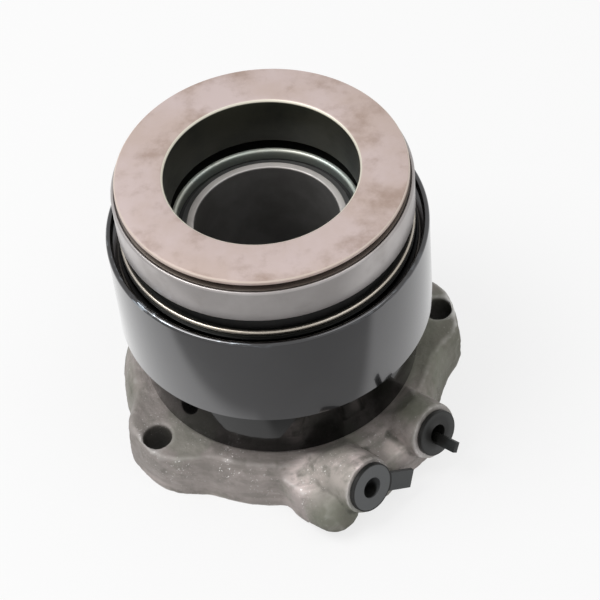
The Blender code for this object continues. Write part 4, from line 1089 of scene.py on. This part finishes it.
def makeBleedPlug():
    plug = plugBlank("bleedPlug", bleedPlug)
    blade = blockPiece(
        (bleedPlug["width"], bleedPlug["thick"], bleedPlug["length"]),
        (0, 0, bleedPlug["length"] / 2 - bleedPlug["sunk"]),
    )
    blade.rotation_euler = (0, 0, math.radians(bleedPlug["angle"]))
    blade.location = (0, -mm(bleedPlug["drop"]), mm(plugSize["under"]))
    seatPlug(plug, blade, "bleed", "bleed_port_plug")


makeInletPlug()
makeBleedPlug()

# the preload spring stands on the neck's foot; its measures are in metres

springShape = {"foot": 0.0177, "travel": 0.016, "roundAngle": 50.0}


def makeSpring():
    spring = copyNode("preload_spring", "preloadSpring")
    smoothShade(spring, springShape["roundAngle"])
    dress(spring, "springSteel", "housing", "spring_steel", "preload_spring")
    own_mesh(spring)


makeSpring()

# the solids whose shape stays get their finish here

keptSolids = {
    "sealRubber": ("guide_tube_seal", "base_seal", "piston_wiper", "piston_seal", "centring_ring", "bearing_seal"),
    "springSteel": ("stop_ring", "spring_seat"), "pistonMoulded": ("piston",), "cageMoulded": ("ball_cage",),
    "ballSteel": tuple(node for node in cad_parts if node.startswith("ball_") and node != "ball_cage"),
}
for finish, nodes in keptSolids.items():
    for node in nodes:
        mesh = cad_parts[node].data
        mesh.materials.clear()
        mesh.materials.append(finishes[finish])
print("kept solids dressed")

# floor, world, lamps and camera

stageLook = {
    "floorSize": 3.0, "floorColour": 0.84, "floorRoughness": 0.9, "floorGlow": 0.75, "worldLight": 0.62,
    # what the gloss mirrors of the floor: from which radius on, and how bright, with painted shade in front and to
    # the right
    "glossGlow": 0.92, "clear": (0.045, 0.070), "frontDim": 0.46, "frontEdge": (-0.0880, -0.0740),
    "frontSlope": 0.25, "rightEdge": (-0.024, 0.004), "rightShift": 0.035, "sides": (-0.06, 0.06),
    "rightDim": 0.80,
}


def addMirroredFloor(tree, place):
    # the floor that the gloss mirrors is dimmer in front and to the right: painted shade
    split = tree.nodes.new("ShaderNodeSeparateXYZ")
    tree.links.new(place, split.inputs[0])
    across, along = split.outputs["X"], split.outputs["Y"]
    shift = addRange(tree, across, *stageLook["rightEdge"], 0.0, stageLook["rightShift"])
    depth = addMath(tree, "ADD", along, addMath(tree, "MULTIPLY", across, stageLook["frontSlope"]))
    depth = addMath(tree, "SUBTRACT", depth, shift)
    front = addRange(tree, depth, *stageLook["frontEdge"], stageLook["frontDim"], 1.0)
    side = addRange(tree, across, *stageLook["sides"], 1.0, stageLook["rightDim"])
    return addMath(tree, "MULTIPLY", front, side)


def makeFloor():
    deselectAll()
    bpy.ops.mesh.primitive_plane_add(size=stageLook["floorSize"], location=(0, 0, 0))
    floor = bpy.context.object
    floor.name = "floor"
    material, tree, shader, place = startFinish("paleFloor")
    grey = stageLook["floorColour"]
    shader.inputs["Base Color"].default_value = (grey, grey, grey, 1)
    shader.inputs["Roughness"].default_value = stageLook["floorRoughness"]
    shader.inputs["Specular IOR Level"].default_value = 0.0
    ray = tree.nodes.new("ShaderNodeLightPath").outputs
    glow = tree.nodes.new("ShaderNodeEmission")
    glow.inputs["Color"].default_value = (1, 1, 1, 1)
    clear = addMath(tree, "SUBTRACT", 1.0, addNear(tree, place, (0, 0, 0), *stageLook["clear"]))
    mirrored = addMath(tree, "MAXIMUM", ray["Is Glossy Ray"], ray["Is Transmission Ray"])
    mirrored = addMath(tree, "MULTIPLY", addMath(tree, "MULTIPLY", mirrored, clear), stageLook["glossGlow"])
    cameraShare = addMath(tree, "MULTIPLY", ray["Is Camera Ray"], stageLook["floorGlow"])
    seen = addMath(tree, "MAXIMUM", cameraShare, mirrored)
    strength = addMath(tree, "MAXIMUM", ray["Is Camera Ray"], addMirroredFloor(tree, place))
    tree.links.new(strength, glow.inputs["Strength"])
    mix = tree.nodes.new("ShaderNodeMixShader")
    for i, source in enumerate((seen, shader.outputs[0], glow.outputs[0])):
        tree.links.new(source, mix.inputs[i])
    tree.links.new(mix.outputs[0], tree.nodes["Material Output"].inputs["Surface"])
    floor.data.materials.append(material)


def makeWorld():
    world = bpy.data.worlds.new("studio")
    scene.world = world
    world.use_nodes = True
    tree = world.node_tree
    back = tree.nodes["Background"]
    back.inputs["Color"].default_value = (1, 1, 1, 1)
    ray = tree.nodes.new("ShaderNodeLightPath").outputs
    seen = addMath(tree, "MAXIMUM", ray["Is Camera Ray"], ray["Is Transmission Ray"])
    strength = addRange(tree, seen, 0.0, 1.0, stageLook["worldLight"], 1.0, smooth=False)
    tree.links.new(strength, back.inputs["Strength"])


lamps = {
    "keyLamp": {"place": (-0.40, -0.02, 0.80), "size": 0.5, "power": 3.4},
    "fillLamp": {"place": (0.36, -0.10, 0.84), "size": 0.5, "power": 0.7},
}
lampTarget = Vector((0, 0, 0.04))


def makeLamp(name, look):
    data = bpy.data.lights.new(name, "AREA")
    data.shape = "DISK"
    data.size = look["size"]
    data.energy = look["power"]
    lamp = bpy.data.objects.new(name, data)
    scene.collection.objects.link(lamp)
    lamp.location = look["place"]
    lamp.rotation_euler = (lampTarget - Vector(look["place"])).to_track_quat("-Z", "Y").to_euler()


# the camera, worked out from the ellipses of the turned edges
cameraLook = {
    "sensor": 36.0, "lens": 105.42, "nearest": 0.01, "place": (0.00722, -0.3484, 0.44788),
    "turn": (40.0046, 3.7425, -4.4473),
}


def makeCamera():
    data = bpy.data.cameras.new("camera")
    data.sensor_width = cameraLook["sensor"]
    data.lens = cameraLook["lens"]
    data.clip_start = cameraLook["nearest"]
    camera = bpy.data.objects.new("camera", data)
    scene.collection.objects.link(camera)
    camera.location = cameraLook["place"]
    camera.rotation_euler = Euler([math.radians(a) for a in cameraLook["turn"]])
    scene.camera = camera


makeFloor()
makeWorld()
for name, look in lamps.items():
    makeLamp(name, look)
makeCamera()
scene.view_settings.view_transform = "Standard"
print("stage set")
